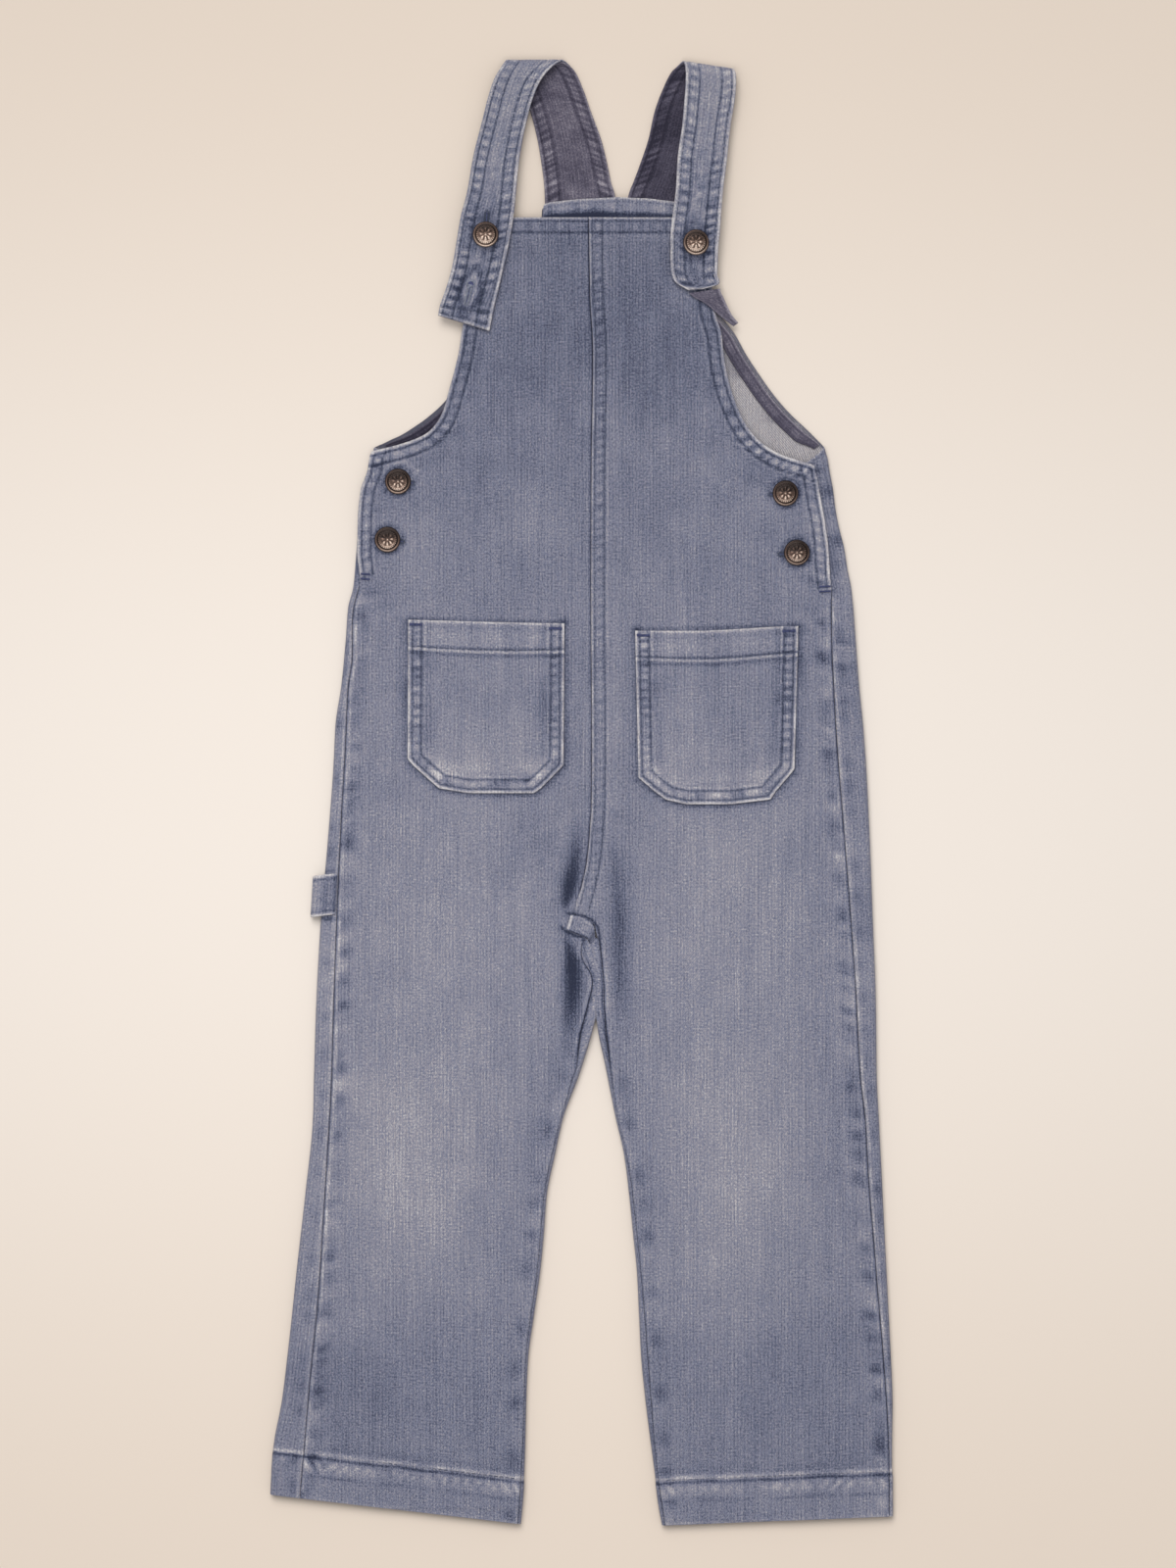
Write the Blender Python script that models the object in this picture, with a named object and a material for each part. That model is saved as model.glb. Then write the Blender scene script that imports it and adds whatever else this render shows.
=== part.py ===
"""A child's denim dungarees lying flat on a table, front up and straps spread, with the straps at +Y.

Tables hold positions on a measuring grid: x grows to the wearer's left, y grows down the legs.
Heights are in millimetres. The underside lies flat at z = 0.
"""

import bpy
import numpy as np

# Sizes
gridStep = 0.56  # mm for one step of the measuring grid
wall = 1.2  # thickness of the denim
lining = 0.9  # thickness of each strap layer and facing
seamGap = 0.3  # between neighbouring pieces
tubeHeight = 5.6  # a leg or the hips, pressed flat
lapHeight = 4.1  # the back where the front laps over it
hemDepth = 25.0
hemRaise = 0.5
bibHemRaise = 0.6
fellWidth = 7.5  # the lapped centre seam
fellRaise = 0.7
pocketHem = 17.0
pocketRaise = 0.4
leastColumn = 0.5
edgeUndercut = 0.5  # keeps the lower edge of a front clear of the back at the folds
buttonRadius = 7.4
buttonRise = 2.4  # from the cloth to the button's crown
shankRadius = 2.0
holeRadius = 2.6
slitHalf = 0.7
slitLength = 9.0  # side and spare buttonholes, from the eye's middle
strapSlitLength = 13.0
plateWall = 1.0  # top facing and the folded seam end
facingWidth = 15  # armhole facings, in grid steps
bibHemRow = 236  # where the bib's top hem ends
crotchRow = 957  # the legs begin to part
partedRow = 1040  # the legs stand apart
hemRow = 1540  # stands for each leg's own end
outerColumns = (1.4, 3.5)  # mm from a front's edge

step = gridStep / 1000
perMm = 1 / gridStep

# Front edges: y, x
frontLeftEdge = [
    (222, 492), (290, 479.5), (339, 471), (359, 468), (384, 462), (400, 457.4), (413, 454.2),
    (427, 448.4), (436, 442), (443, 434), (449, 421), (454, 406), (457.5, 392), (461, 379),
    (467, 377), (480, 375), (500, 368), (532, 365), (565, 364.5), (592, 367.5), (615, 362),
    (631, 359.6), (670, 359.4), (703, 355), (759, 352.5), (840, 348), (940, 343.5), (1040, 340),
    (1100, 338.4), (1200, 332.6), (1320, 325), (1420, 316), (1484, 311), (1540, 306),
]
frontRightEdge = [
    (222, 715), (270, 724), (320, 730.4), (341, 736.5), (361, 738.6), (384, 742.7), (408, 749.8),
    (431, 760), (449, 774), (463, 795), (469, 812), (475.4, 830.6), (483, 833), (509, 837.5),
    (535, 842.4), (559, 845.4), (590, 847.4), (602, 848.4), (640, 848.5), (698, 850.6),
    (759, 854.2), (820, 858.9), (882, 863.9), (945, 868.8), (1016, 873.6), (1098, 878),
    (1142, 883), (1203, 886.4), (1270, 892), (1320, 895.9), (1380, 901), (1456, 906),
    (1495, 907.6), (1552, 907.6),
]
# Centre seam down to the crotch, then the inner leg seams: y, x
centreSeam = [
    (222, 600.6), (300, 602), (360, 605), (480, 603.3), (605, 603), (760, 603.8), (820, 603.4),
    (847, 601.8), (877, 599), (906, 593), (932, 586),
]
frontLeftInner = centreSeam + [
    (941, 590), (950, 595), (956, 598.7), (964, 593.9), (972, 593.4), (983, 596.8), (992, 602.5),
    (1001, 604.9), (1010, 604.2), (1020, 601.6), (1039, 596.8), (1053, 593), (1091, 588),
    (1100, 584.5), (1124, 578), (1172, 565), (1220, 555.5), (1300, 548), (1380, 537), (1460, 533.5),
    (1540, 529),
]
frontRightInner = centreSeam + [
    (938, 598), (943.5, 606.4), (950, 608), (963, 611.6), (982, 614), (1006, 616), (1025, 616.4),
    (1044, 617.8), (1060, 619.3), (1100, 624), (1142, 630.5), (1178, 639), (1203, 643.5),
    (1257, 649.7), (1320, 656), (1380, 661), (1418, 663.9), (1466, 667.7), (1495, 670.5),
    (1552, 678.5),
]
# Outer folds, inner folds and the line where the backs meet: y, x
foldLeft = [
    (204, 381), (455, 381), (480, 377.5), (500, 370), (520, 367), (540, 365), (560, 363.5), (580, 362),
    (600, 360), (620, 355), (660, 352), (700, 348), (740, 342), (780, 340), (860, 334), (940, 327),
    (1020, 322.5), (1100, 320), (1140, 319), (1220, 311), (1300, 302), (1380, 294), (1440, 287.5),
    (1494, 278.5), (1540, 276),
]
foldRight = [
    (204, 842), (456, 842), (468, 845), (481, 847), (500, 850.5), (520, 853), (540, 857), (560, 862),
    (580, 865), (600, 869), (620, 871), (660, 874), (700, 877), (740, 881), (780, 884), (860, 888),
    (940, 891), (1020, 894), (1100, 895), (1140, 897), (1220, 901), (1300, 905), (1380, 909),
    (1440, 911), (1490, 910.5), (1552, 911),
]
backCentre = [
    (204, 630), (450, 622), (700, 613), (915, 604.5), (957, 603.8), (980, 606), (1001, 608.3), (1040, 608),
]
innerFoldLeft = [
    (1040, 607.7), (1060, 602.5), (1080, 596.5), (1100, 590), (1140, 575), (1180, 566), (1220, 558),
    (1260, 555), (1300, 551), (1340, 545), (1380, 539), (1420, 537), (1460, 536), (1500, 534.5),
    (1540, 531),
]
innerFoldRight = [
    (1040, 608.3), (1060, 611.5), (1080, 616), (1100, 620), (1140, 628), (1180, 637), (1220, 642),
    (1260, 646), (1300, 650), (1340, 652), (1380, 654), (1420, 658), (1460, 663), (1494, 667.5),
    (1530, 672), (1552, 676),
]
# Where each back starts, inwards from its outer fold: above zero on top, below zero on the table: y, distance
startLeft = [
    (204, -172), (240, -170), (280, -155), (320, -139), (360, -108), (400, -80), (413, -69), (427, -53),
    (434, -43), (444, -27), (448, -18), (452, -10), (456, 0), (460, 9), (466, 20), (474, 34), (484, 50),
    (574, 50), (584, 28), (592, 6.6),
]
startRight = [
    (204, -142), (240, -136), (280, -122), (320, -107), (340, -92), (360, -81), (380, -68), (400, -54),
    (420, -37), (440, -16), (448, -8), (452, -4), (456, 0), (463, 9.5), (471, 22), (478, 40), (486, 66),
    (580, 66), (592, 40), (602, 20),
]
# Height of the front's face above the table: y, mm
frontHeight = [
    (204, 6.5), (240, 6.5), (252, 5.6), (266, 4.5), (300, 4.1), (400, 4.5), (430, 5.3), (450, 5.6),
    (480, 5.6),
]
# Creases on the front: x, y, half width, half length, lean (x for one y), height in mm
creases = [
    (570, 895, 7, 42, -0.10, 0.7),
    (572, 1005, 7, 42, 0.02, 0.9),
    (634, 960, 16, 95, 0.02, 0.5),
    (590, 975, 5, 18, 0.55, 0.5),
    (350, 1140, 10, 90, -0.06, 0.5),
    (868, 1150, 9, 110, 0.07, 0.5),
]
armholeRows = [240, 260, 280, 300, 320, 330, 340, 350, 360, 380, 400, 413, 424, 434, 440, 444]
# Inside of the back's top edge: y, left x, right x
topFacingRows = [(204, 554, 699), (219, 554, 703), (235, 551, 707)]
# The tool loop on the left leg: x, height, and its two edges as y and shift
loopPath = [(344, 5.9), (334, 5.9), (328, 5.6), (323, 4.6), (320.3, 3.2), (321.5, 1.6), (325.5, 0.0)]
loopOutside = [(344, 7.1), (334, 7.1), (326, 6.7), (320.6, 5.4), (318, 3.2), (319.5, 1.0), (322.5, 0.0)]
loopEdges = [(893.5, 0), (935, -3)]
# The end of the seat seam, folded up over the crotch: x, y
tabTop = [(582.4, 933.4), (590, 934.3), (597.8, 937.8), (604, 942), (607.5, 948)]
tabBottom = [(578, 948.3), (585.5, 951.5), (593, 954), (598.5, 956), (602, 957)]
# Rows of the grids. Fronts and backs share the rows below the waist, so that their seams match.
legRows = [
    592, 599, 606, 620, 650, 700, 780, 850, 905, 918, 932, 938, 944, 950, 957, 964, 972, 983, 992, 1001, 1012,
    1026, 1040, 1060, 1085, 1110, 1150, 1190, 1240, 1300, 1360, 1420, 1470, 1495, 1497, 1540,
]
frontRows = [
    222, 235, 237, 252, 266, 300, 345, 385, 410, 427, 436, 443, 449, 454, 457.5, 461, 468, 476, 486, 502, 535,
    565, 582,
] + legRows
backRows = [
    204, 222, 260, 310, 350, 390, 415, 432, 442, 448, 452, 456, 460, 466, 472, 479, 487, 520, 555, 575, 584,
] + legRows
# Leg ends: the row of the hem, its middle x and its slope
hemLeft = dict(row=1540, middle=402, slope=0.118)
hemRight = dict(row=1552, middle=793, slope=-0.04)

# Straps, from the free end over the loop to the base: left x, left y, right x, right y, height of the face
strapLeftRows = [
    (447, 322, 499.5, 338, 6.9), (449, 312, 503.4, 318, 6.9), (455, 295, 508, 299, 7.0),
    (460.6, 276, 513.4, 276, 7.4), (464.4, 257, 518.8, 253, 8.9), (467.5, 238, 522, 236, 9.7),
    (470.5, 221, 524.5, 219, 9.7), (476, 200, 526.5, 199, 9.3), (483, 160, 530.5, 160, 7.8),
    (493, 120, 538.5, 120, 7.4), (498, 100, 543.5, 102, 7.6), (505, 80, 553, 81, 8.0),
    (511, 69.5, 563, 69, 7.6), (515, 63, 570, 63, 6.2),
    (517, 60.5, 574, 60.5, 3.9), (520, 63, 579, 63, 1.3), (524, 69.5, 585, 69.5, 0), (533, 90, 595, 90, 0),
    (541, 113, 603, 113, 0), (548, 140, 613, 140, 0), (553, 170, 620.5, 170, 0), (555, 186, 624, 187, 0),
    (555.8, 200, 627.8, 200, 1.5), (556, 221, 629, 221, 1.5),
]
strapRightRows = [
    (702, 296.4, 717, 295.3, 7.0), (691, 290, 732, 291, 7.0), (685.5, 281, 732, 281, 7.2),
    (684, 268, 732.5, 268, 7.9), (683.8, 253, 733, 253, 9.0), (684, 238, 734.5, 238, 9.7),
    (686, 221, 735.6, 221, 9.7), (689, 198, 737.5, 198, 9.3), (691.4, 161, 742, 161, 7.8),
    (696.3, 125, 746, 125, 7.4), (698.5, 100, 749.5, 104, 7.6), (699.5, 84, 751, 89, 8.0),
    (699.5, 71.5, 751, 78, 7.6), (698.5, 64.5, 750, 72, 6.2), (697, 61.5, 748.5, 69.5, 3.9),
    (693, 64.5, 745, 72, 1.3), (686.5, 71, 740, 78, 0), (676, 91, 734, 94, 0), (668, 113, 730, 115, 0),
    (662, 140, 727.5, 141, 0), (652, 170, 718, 171, 0), (646, 186, 711, 187, 0), (641, 200, 705, 200, 1.5),
    (638.5, 221, 699, 221, 1.5),
]
# The curled tail of the right strap, shown by its lining
tailRows = [
    (706, 302, 735.5, 298, 5.9), (719, 309.5, 738, 303, 5.6), (731, 319.5, 743, 314, 5.5),
    (741.5, 328, 748, 323, 5.4), (748.5, 333, 753.5, 329.5, 5.3),
]
# Pockets: y, left x, right x
pocketLeftRows = [
    (635, 416.7, 576), (664.5, 416.6, 575.8), (666.5, 416.6, 575.8), (720, 416.3, 575.5),
    (774.5, 416, 575.2),
    (781, 421.5, 575.1), (795, 437, 561.5), (804.5, 448, 552), (809.5, 478, 545),
]
pocketRightRows = [
    (642, 648, 814.4), (671.5, 648.6, 813.8), (673.5, 648.6, 813.7), (730, 649.8, 812.2),
    (785, 651.2, 810.6),
    (793.6, 651.4, 803.5), (807, 667, 792), (816, 679, 786), (820.8, 700, 745),
]
buttons = [
    # name, x, y, what it lies on, direction of the slit in x and y
    ("button_strap_left", 495.8, 240.7, "strap", (0.1, -1)),
    ("button_strap_right", 710, 248.7, "strap", (-0.05, -1)),
    ("button_side_left_upper", 406.2, 491.5, "front", (1, 0.1)),
    ("button_side_left_lower", 395.5, 550.7, "front", (1, 0.1)),
    ("button_side_right_upper", 801.4, 503.5, "front", (-1, 0.1)),
    ("button_side_right_lower", 813, 564, "front", (-1, 0.1)),
]
spareHole = dict(x=479, y=294, direction=(-0.24, 1))

denimColour = (0.19, 0.2, 0.26, 1)
innerColour = (0.3, 0.29, 0.32, 1)
liningColour = (0.13, 0.12, 0.16, 1)
metalColour = (0.24, 0.16, 0.12, 1)


def follow(table, at):
    """Smooth values of a two-column table, without overshoot."""
    xs, ys = np.array(table, float).T
    slopes = np.diff(ys) / np.diff(xs)
    before, after = slopes[:-1], slopes[1:]
    inside = np.where(before * after > 0, 2 * before * after / (before + after + 1e-12), 0)
    ends = np.concatenate([slopes[:1], inside, slopes[-1:]])
    at = np.clip(np.asarray(at, float), xs[0], xs[-1])
    k = np.clip(np.searchsorted(xs, at) - 1, 0, len(xs) - 2)
    width = xs[k + 1] - xs[k]
    t = (at - xs[k]) / width
    return (
        (1 + 2 * t) * (1 - t) ** 2 * ys[k]
        + t * (1 - t) ** 2 * width * ends[k]
        + t**2 * (3 - 2 * t) * ys[k + 1]
        + t**2 * (t - 1) * width * ends[k + 1]
    )


def ease(value, start, end):
    """0 before start, 1 after end, smooth between."""
    t = np.clip((np.asarray(value, float) - start) / (end - start), 0, 1)
    return t * t * (3 - 2 * t)


def squareness(y):
    """1 is a round inner fold, less is squarer, where the legs part."""
    return 0.55 + 0.45 * ease(y, 1030, 1100)


def foldDrop(distance, height, power):
    """How far a fold's upper face lies below its top, at a distance inwards from the fold line."""
    radius = height / 2
    sine = np.clip(1 - distance / radius, 0, 1) ** (1 / power)
    return radius * (1 - (1 - sine**2) ** (power / 2))


def creaseHeight(x, y):
    total = np.zeros(np.broadcast(x, y).shape)
    for cx, cy, halfWidth, halfLength, lean, height in creases:
        along = (y - cy) / halfLength
        across = (x - cx - lean * (y - cy)) / halfWidth
        total += height * np.exp(-(across**2) * 2) * (1 - ease(np.abs(along), 0.4, 1))
    return total


class Side:
    """One half of the garment. Its sign is 1 where inwards is +x."""

    def __init__(self, sign, edge, inner, fold, innerFold, start, lapEnd, hem):
        self.sign = sign
        self.edge = edge
        self.inner = inner
        self.fold = fold
        self.innerFold = innerFold
        self.start = start
        self.lapEnd = lapEnd
        self.hem = hem

    def row(self, y):
        """The last row of the table is the leg's end."""
        return np.where(np.asarray(y) >= hemRow, self.hem["row"], y)

    def lean(self, x, y):
        """Shift of y that follows the slope of the leg's end."""
        return self.hem["slope"] * (x - self.hem["middle"]) * ease(y, 1300, 1480)

    def lap(self, y):
        return 1 - ease(y, self.lapEnd, self.lapEnd + 13)

    def backHeight(self, y):
        return tubeHeight - (tubeHeight - lapHeight) * self.lap(y)

    def frontTop(self, x, y):
        """Height of the front's face, with its folded edges and creases."""
        top = follow(frontHeight, y) + creaseHeight(x, y)
        outer = self.sign * (x - follow(self.fold, y)) * gridStep
        top -= foldDrop(outer, tubeHeight, 1.0) * (1 - self.lap(y))
        inner = self.sign * (self.innerLine(y) - x) * gridStep
        return top - foldDrop(inner, tubeHeight, squareness(y)) * (y > crotchRow)

    def innerLine(self, y):
        apart = follow(self.innerFold, y)
        together = follow(backCentre, y) - self.sign * seamGap / 2 * perMm
        return np.where(y < partedRow, together, apart)


left = Side(1, frontLeftEdge, frontLeftInner, foldLeft, innerFoldLeft, startLeft, 591, hemLeft)
right = Side(-1, frontRightEdge, frontRightInner, foldRight, innerFoldRight, startRight, 607, hemRight)
solids = {}


def outwards(points, faces):
    """Turns the faces outwards. y grows downwards in the grid, which turns each face round."""
    volume = 0
    for face in faces:
        for k in range(1, len(face) - 1):
            volume += np.dot(points[face[0]], np.cross(points[face[k]], points[face[k + 1]]))
    return [face[::-1] for face in faces] if volume > 0 else faces


def keep(name, points, faces, material):
    """Keeps a solid. Points are in grid steps, with z in mm."""
    points = np.array(points, float)
    solids[name] = (points, outwards(points, faces), material)


def sheet(name, outer, inner, material):
    """A closed wall between two grids of points."""
    rows, columns = outer.shape[:2]
    count = rows * columns
    points = np.concatenate([outer.reshape(-1, 3), inner.reshape(-1, 3)])
    index = np.arange(count).reshape(rows, columns)
    faces = []
    for i in range(rows - 1):
        for j in range(columns - 1):
            quad = [index[i, j], index[i, j + 1], index[i + 1, j + 1], index[i + 1, j]]
            faces.append(quad)
            faces.append([k + count for k in quad[::-1]])
    rim = np.concatenate([index[0, :-1], index[:-1, -1], index[-1, :0:-1], index[:0:-1, 0]])
    for k, a in enumerate(rim):
        b = rim[(k + 1) % len(rim)]
        faces.append([b, a, a + count, b + count])
    keep(name, points, faces, material)


def inwards(grid, up):
    """Unit directions into the wall at each point of a grid, in mm, on the side away from up."""
    real = grid * (gridStep, gridStep, 1)
    normal = np.cross(np.gradient(real, axis=0), np.gradient(real, axis=1))
    normal /= np.linalg.norm(normal, axis=2, keepdims=True)
    if (normal[..., 2].sum() > 0) == up:
        normal = -normal
    return normal


def move(grid, direction, distance):
    far = np.asarray(distance, float)[..., None] if np.ndim(distance) else distance
    return grid + direction * far * (perMm, perMm, 1)


def frontPanel(name, side, fell):
    """A front from bib to hem. Near its edges the columns keep their distance from the edge."""
    y = side.row(np.array(frontRows, float))
    start = follow(side.edge, y)
    end = follow(side.inner, y)
    width = np.abs(end - start) * gridStep
    band = fell * (1 - ease(y, 938, 960))
    near, far = outerColumns
    last = np.stack([near + (fellWidth - near) * band, far + (fellWidth - far + 1) * band])
    columns = [0 * y, 0 * y + near, 0 * y + far]
    columns += [far + (width - far - last[1]) * part for part in (0.2, 0.4, 0.6, 0.8)]
    columns += [width - last[1], width - last[0], width]
    across = np.stack(columns, axis=1) * perMm
    half = seamGap / 2 * perMm
    x = start[:, None] + side.sign * half + side.sign * across * (1 - 2 * half / (width[:, None] * perMm))
    rowY = np.repeat(y[:, None], x.shape[1], axis=1)
    base = np.stack([x, rowY + side.lean(x, rowY), side.frontTop(x, rowY)], axis=2)
    into = inwards(base, True)
    rise = hemRaise * (y > side.hem["row"] - hemDepth * perMm - 0.5)[:, None] + 0 * x
    rise += bibHemRaise * (y < bibHemRow)[:, None]
    rise[:, -2:] = np.maximum(rise[:, -2:], fellRaise * band[:, None])
    inside = move(base, into, wall)
    inside[:, 0, 0] += side.sign * edgeUndercut * perMm
    inside[:, -1, 0] -= side.sign * edgeUndercut * perMm
    sheet(name, move(base, -into, rise), inside, "denim")


def loopPoint(side, c, y, nearFold, farFold, height):
    """A point of the back's outer face, at distance c round its path from the top of the outer fold."""
    outerRadius, innerRadius = height / 2, tubeHeight / 2
    width = np.abs(farFold - nearFold) * gridStep
    floorStart = np.pi * outerRadius
    floorEnd = floorStart + width - outerRadius - innerRadius
    topAgain = floorEnd + np.pi * innerRadius
    first = np.clip(c / outerRadius, 0, np.pi)
    second = np.clip((c - floorEnd) / innerRadius, 0, np.pi)
    power = squareness(y)
    inward = outerRadius * (1 - np.sin(first)) - np.minimum(c, 0)
    inward += np.clip(c - floorStart, 0, floorEnd - floorStart)
    inward += innerRadius * np.sin(second) ** power - np.maximum(c - topAgain, 0)
    bend = 1 - np.sign(np.cos(second)) * np.abs(np.cos(second)) ** power
    z = outerRadius * (1 + np.cos(first)) + innerRadius * bend
    return np.stack([nearFold + side.sign * inward * perMm, z], axis=-1)


def upperAngle(distance, radius, power):
    """Angle round a fold of the point of its upper face at a distance inwards from the fold line."""
    sine = np.clip(1 - distance / radius, 0, 1) ** (1 / power)
    return np.arcsin(sine)


def backPanel(name, side):
    """A back from bib to hem. It starts on top at the side seam, goes round the outer fold and along
    the table, and below the crotch round the inner fold to the inner leg seam."""
    y = side.row(np.array(backRows, float))
    near = follow(side.fold, y)
    height = side.backHeight(y)
    radius = height / 2
    inner = tubeHeight / 2
    seam = side.sign * (follow(side.edge, y) - near) * gridStep - seamGap / 2
    reach = np.where(y < side.start[-1][0] + 0.5, follow(side.start, y) * gridStep, seam)
    angle = upperAngle(np.abs(reach), radius, 1.0)
    beyond = np.maximum(np.abs(reach) - radius, 0)
    start = np.where(reach > 0, radius * angle - beyond, radius * (np.pi - angle) + beyond)
    # The end rises from the table to the top where the legs part
    power = squareness(y)
    line = side.innerLine(y)
    gapLeft = np.maximum(side.sign * (line - follow(side.inner, y)) * gridStep - seamGap / 2, 0.05)
    endAngle = np.pi - upperAngle(gapLeft, inner, power)
    endAngle = np.where(y < crotchRow, np.pi * ease(y, 914, 960), endAngle)
    endBeyond = np.where(y < crotchRow, 0, np.maximum(gapLeft - inner, 0))
    turnedIn = np.where(endAngle < np.pi / 2, inner * (1 - np.sin(endAngle) ** power), 0)
    far = line + side.sign * turnedIn * perMm
    width = np.abs(far - near) * gridStep
    floorStart = np.pi * radius
    floorEnd = floorStart + width - radius - inner
    end = floorEnd + endAngle * inner + endBeyond
    marks = [start, 0 * y, floorStart / 3, floorStart * 2 / 3, floorStart]
    marks += [floorStart + (floorEnd - floorStart) * part for part in (0.33, 0.67)]
    marks += [floorEnd + np.pi * inner * part for part in (0, 1 / 3, 2 / 3, 1)] + [end]
    count = len(marks)
    kept = []
    for k, mark in enumerate(marks):
        kept.append(np.clip(mark, start + leastColumn * k, end - leastColumn * (count - 1 - k)))
    c = np.stack(kept, axis=1)
    spread = (y[:, None], near[:, None], far[:, None], height[:, None])
    face = loopPoint(side, c, *spread)
    ahead = loopPoint(side, c + 0.02, *spread)
    behind = loopPoint(side, c - 0.02, *spread)
    along = (ahead - behind) * (gridStep, 1)
    into = np.stack([-along[..., 1], along[..., 0]], axis=2) * side.sign
    into /= np.linalg.norm(into, axis=2, keepdims=True)
    into[..., 1] = np.where(face[..., 1] < 0.02, 1, into[..., 1])
    into[..., 0] = np.where(face[..., 1] < 0.02, 0, into[..., 0])
    hem = hemRaise * (y > side.hem["row"] - hemDepth * perMm - 0.5)[:, None]
    rise = hem * np.clip(face[..., 1] / tubeHeight * 2 - 1, 0, 1)
    outer = face - into * rise[..., None] * (perMm, 1)
    inside = face + into * wall * (perMm, 1)
    rowY = np.repeat(y[:, None], count, axis=1)

    def full(flat):
        return np.stack([flat[..., 0], rowY + side.lean(flat[..., 0], rowY), flat[..., 1]], axis=2)

    sheet(name, full(outer), full(inside), "denim")


def ribbon(rows, columns=4):
    """A grid across a strap, from edge to edge of its rows."""
    rows = np.array(rows, float)
    parts = np.linspace(0, 1, columns)[:, None]
    return rows[:, None, [0, 1, 4]] * (1 - parts) + rows[:, None, [2, 3, 4]] * parts


def strap(name, liningName, rows, tail=None):
    """Denim outside and lining inside, from the free end over the loop to the base."""
    grid = ribbon(rows)
    real = grid * (gridStep, gridStep, 1)
    normal = np.cross(np.gradient(real, axis=0), np.gradient(real, axis=1))
    normal /= np.linalg.norm(normal, axis=2, keepdims=True)
    if normal[4, 1, 2] > 0:
        normal = -normal
    sheet(name, grid, move(grid, normal, lining), "denim")
    top, bottom = lining + seamGap, 2 * lining + seamGap
    face, under = move(grid, normal, top), move(grid, normal, bottom)
    if tail:
        end = ribbon(tail)[::-1]
        face = np.concatenate([end, face])
        under = np.concatenate([end - (0, 0, lining), under])
    sheet(liningName, face, under, "lining")


def plate(name, rows, top, thickness, material, columns=5, rise=None):
    """A flat piece over rows of y, left x and right x. top gives the height of its lower face."""
    rows = np.array(rows, float)
    parts = np.linspace(0, 1, columns)
    x = rows[:, 1:2] * (1 - parts) + rows[:, 2:3] * parts
    y = np.repeat(rows[:, :1], columns, axis=1)
    z = top(x, y)
    lift = 0 if rise is None else rise(y)
    upper = np.stack([x, y, z + thickness + lift], axis=2)
    sheet(name, upper, np.stack([x, y, z], axis=2), material)


def turned(name, x, y, profile, material, sides=20):
    """A round solid about an upright line, from its radii and heights in mm."""
    points, faces = [], []
    turns = np.arange(sides) * 2 * np.pi / sides
    for radius, z in profile[1:-1]:
        points += [(x + radius * perMm * np.cos(t), y + radius * perMm * np.sin(t), z) for t in turns]
    low, high = len(points), len(points) + 1
    points += [(x, y, profile[0][1]), (x, y, profile[-1][1])]
    rings = len(profile) - 2
    for k in range(sides):
        n = (k + 1) % sides
        for ring in range(rings - 1):
            a, b = ring * sides, (ring + 1) * sides
            faces.append([a + k, a + n, b + n, b + k])
        faces.append([low, n, k])
        faces.append([high, (rings - 1) * sides + k, (rings - 1) * sides + n])
    keep(name, points, faces, material)


def keyhole(x, y, direction, length, low, high):
    """Points and faces of an upright prism: a round eye with a slit to one side."""
    direction = np.array(direction, float) / np.hypot(*direction)
    cross = np.array([-direction[1], direction[0]])
    start = np.arcsin(slitHalf / holeRadius)
    turns = np.linspace(start, 2 * np.pi - start, 15)
    outline = [direction * np.cos(t) * holeRadius + cross * np.sin(t) * holeRadius for t in turns]
    outline += [direction * length - cross * slitHalf, direction * length + cross * slitHalf]
    count = len(outline)
    points = [(x + p[0] * perMm, y + p[1] * perMm, z) for z in (low, high) for p in outline]
    faces = [list(range(count)), list(range(2 * count - 1, count - 1, -1))]
    faces += [[k, (k + 1) % count, (k + 1) % count + count, k + count] for k in range(count)]
    return points, faces


def joined(parts):
    points, faces = [], []
    for some, more in parts:
        faces += [[k + len(points) for k in f] for f in more]
        points += some
    return points, faces


frontPanel("front_left", left, 0)
frontPanel("front_right", right, 1)
backPanel("back_left", left)
backPanel("back_right", right)

strap("strap_left", "strap_lining_left", strapLeftRows)
strap("strap_right", "strap_lining_right", strapRightRows, tailRows)


def atHeight(height):
    return lambda x, y: 0 * x + height


# The strap ends lie between the back and its top facing
plate("back_top_facing", topFacingRows, atHeight(3 * seamGap + wall + 2 * lining), plateWall, "denim")


def armholeFacing(name, side):
    """A strip on the inside of the back along its armhole."""
    rows = np.array(armholeRows, float)
    start = follow(side.fold, rows) - side.sign * follow(side.start, rows)
    slope = np.gradient(start, rows)
    wide = facingWidth * np.minimum(np.sqrt(1 + slope**2), 2.2)
    outer = start + side.sign
    table = np.stack([rows, outer, outer + side.sign * wide], axis=1)
    plate(name, table, atHeight(wall + seamGap), lining, "lining", columns=2)


armholeFacing("back_facing_left", left)
armholeFacing("back_facing_right", right)


def onFront(side):
    return lambda x, y: side.frontTop(x, y) + seamGap


def pocketRise(top):
    return lambda y: pocketRaise * (y < top + pocketHem * perMm)


plate("pocket_left", pocketLeftRows, onFront(left), wall, "denim", rise=pocketRise(pocketLeftRows[0][0]))
plate("pocket_right", pocketRightRows, onFront(right), wall, "denim", rise=pocketRise(pocketRightRows[0][0]))

# The loop stands out from the outer fold and ends on the table beside it
lower = np.array([[(x + shift, y, z) for x, z in loopPath] for y, shift in loopEdges], float)
upper = np.array([[(x + shift, y, z) for x, z in loopOutside] for y, shift in loopEdges], float)
sheet("hammer_loop", upper, lower, "denim")

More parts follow.
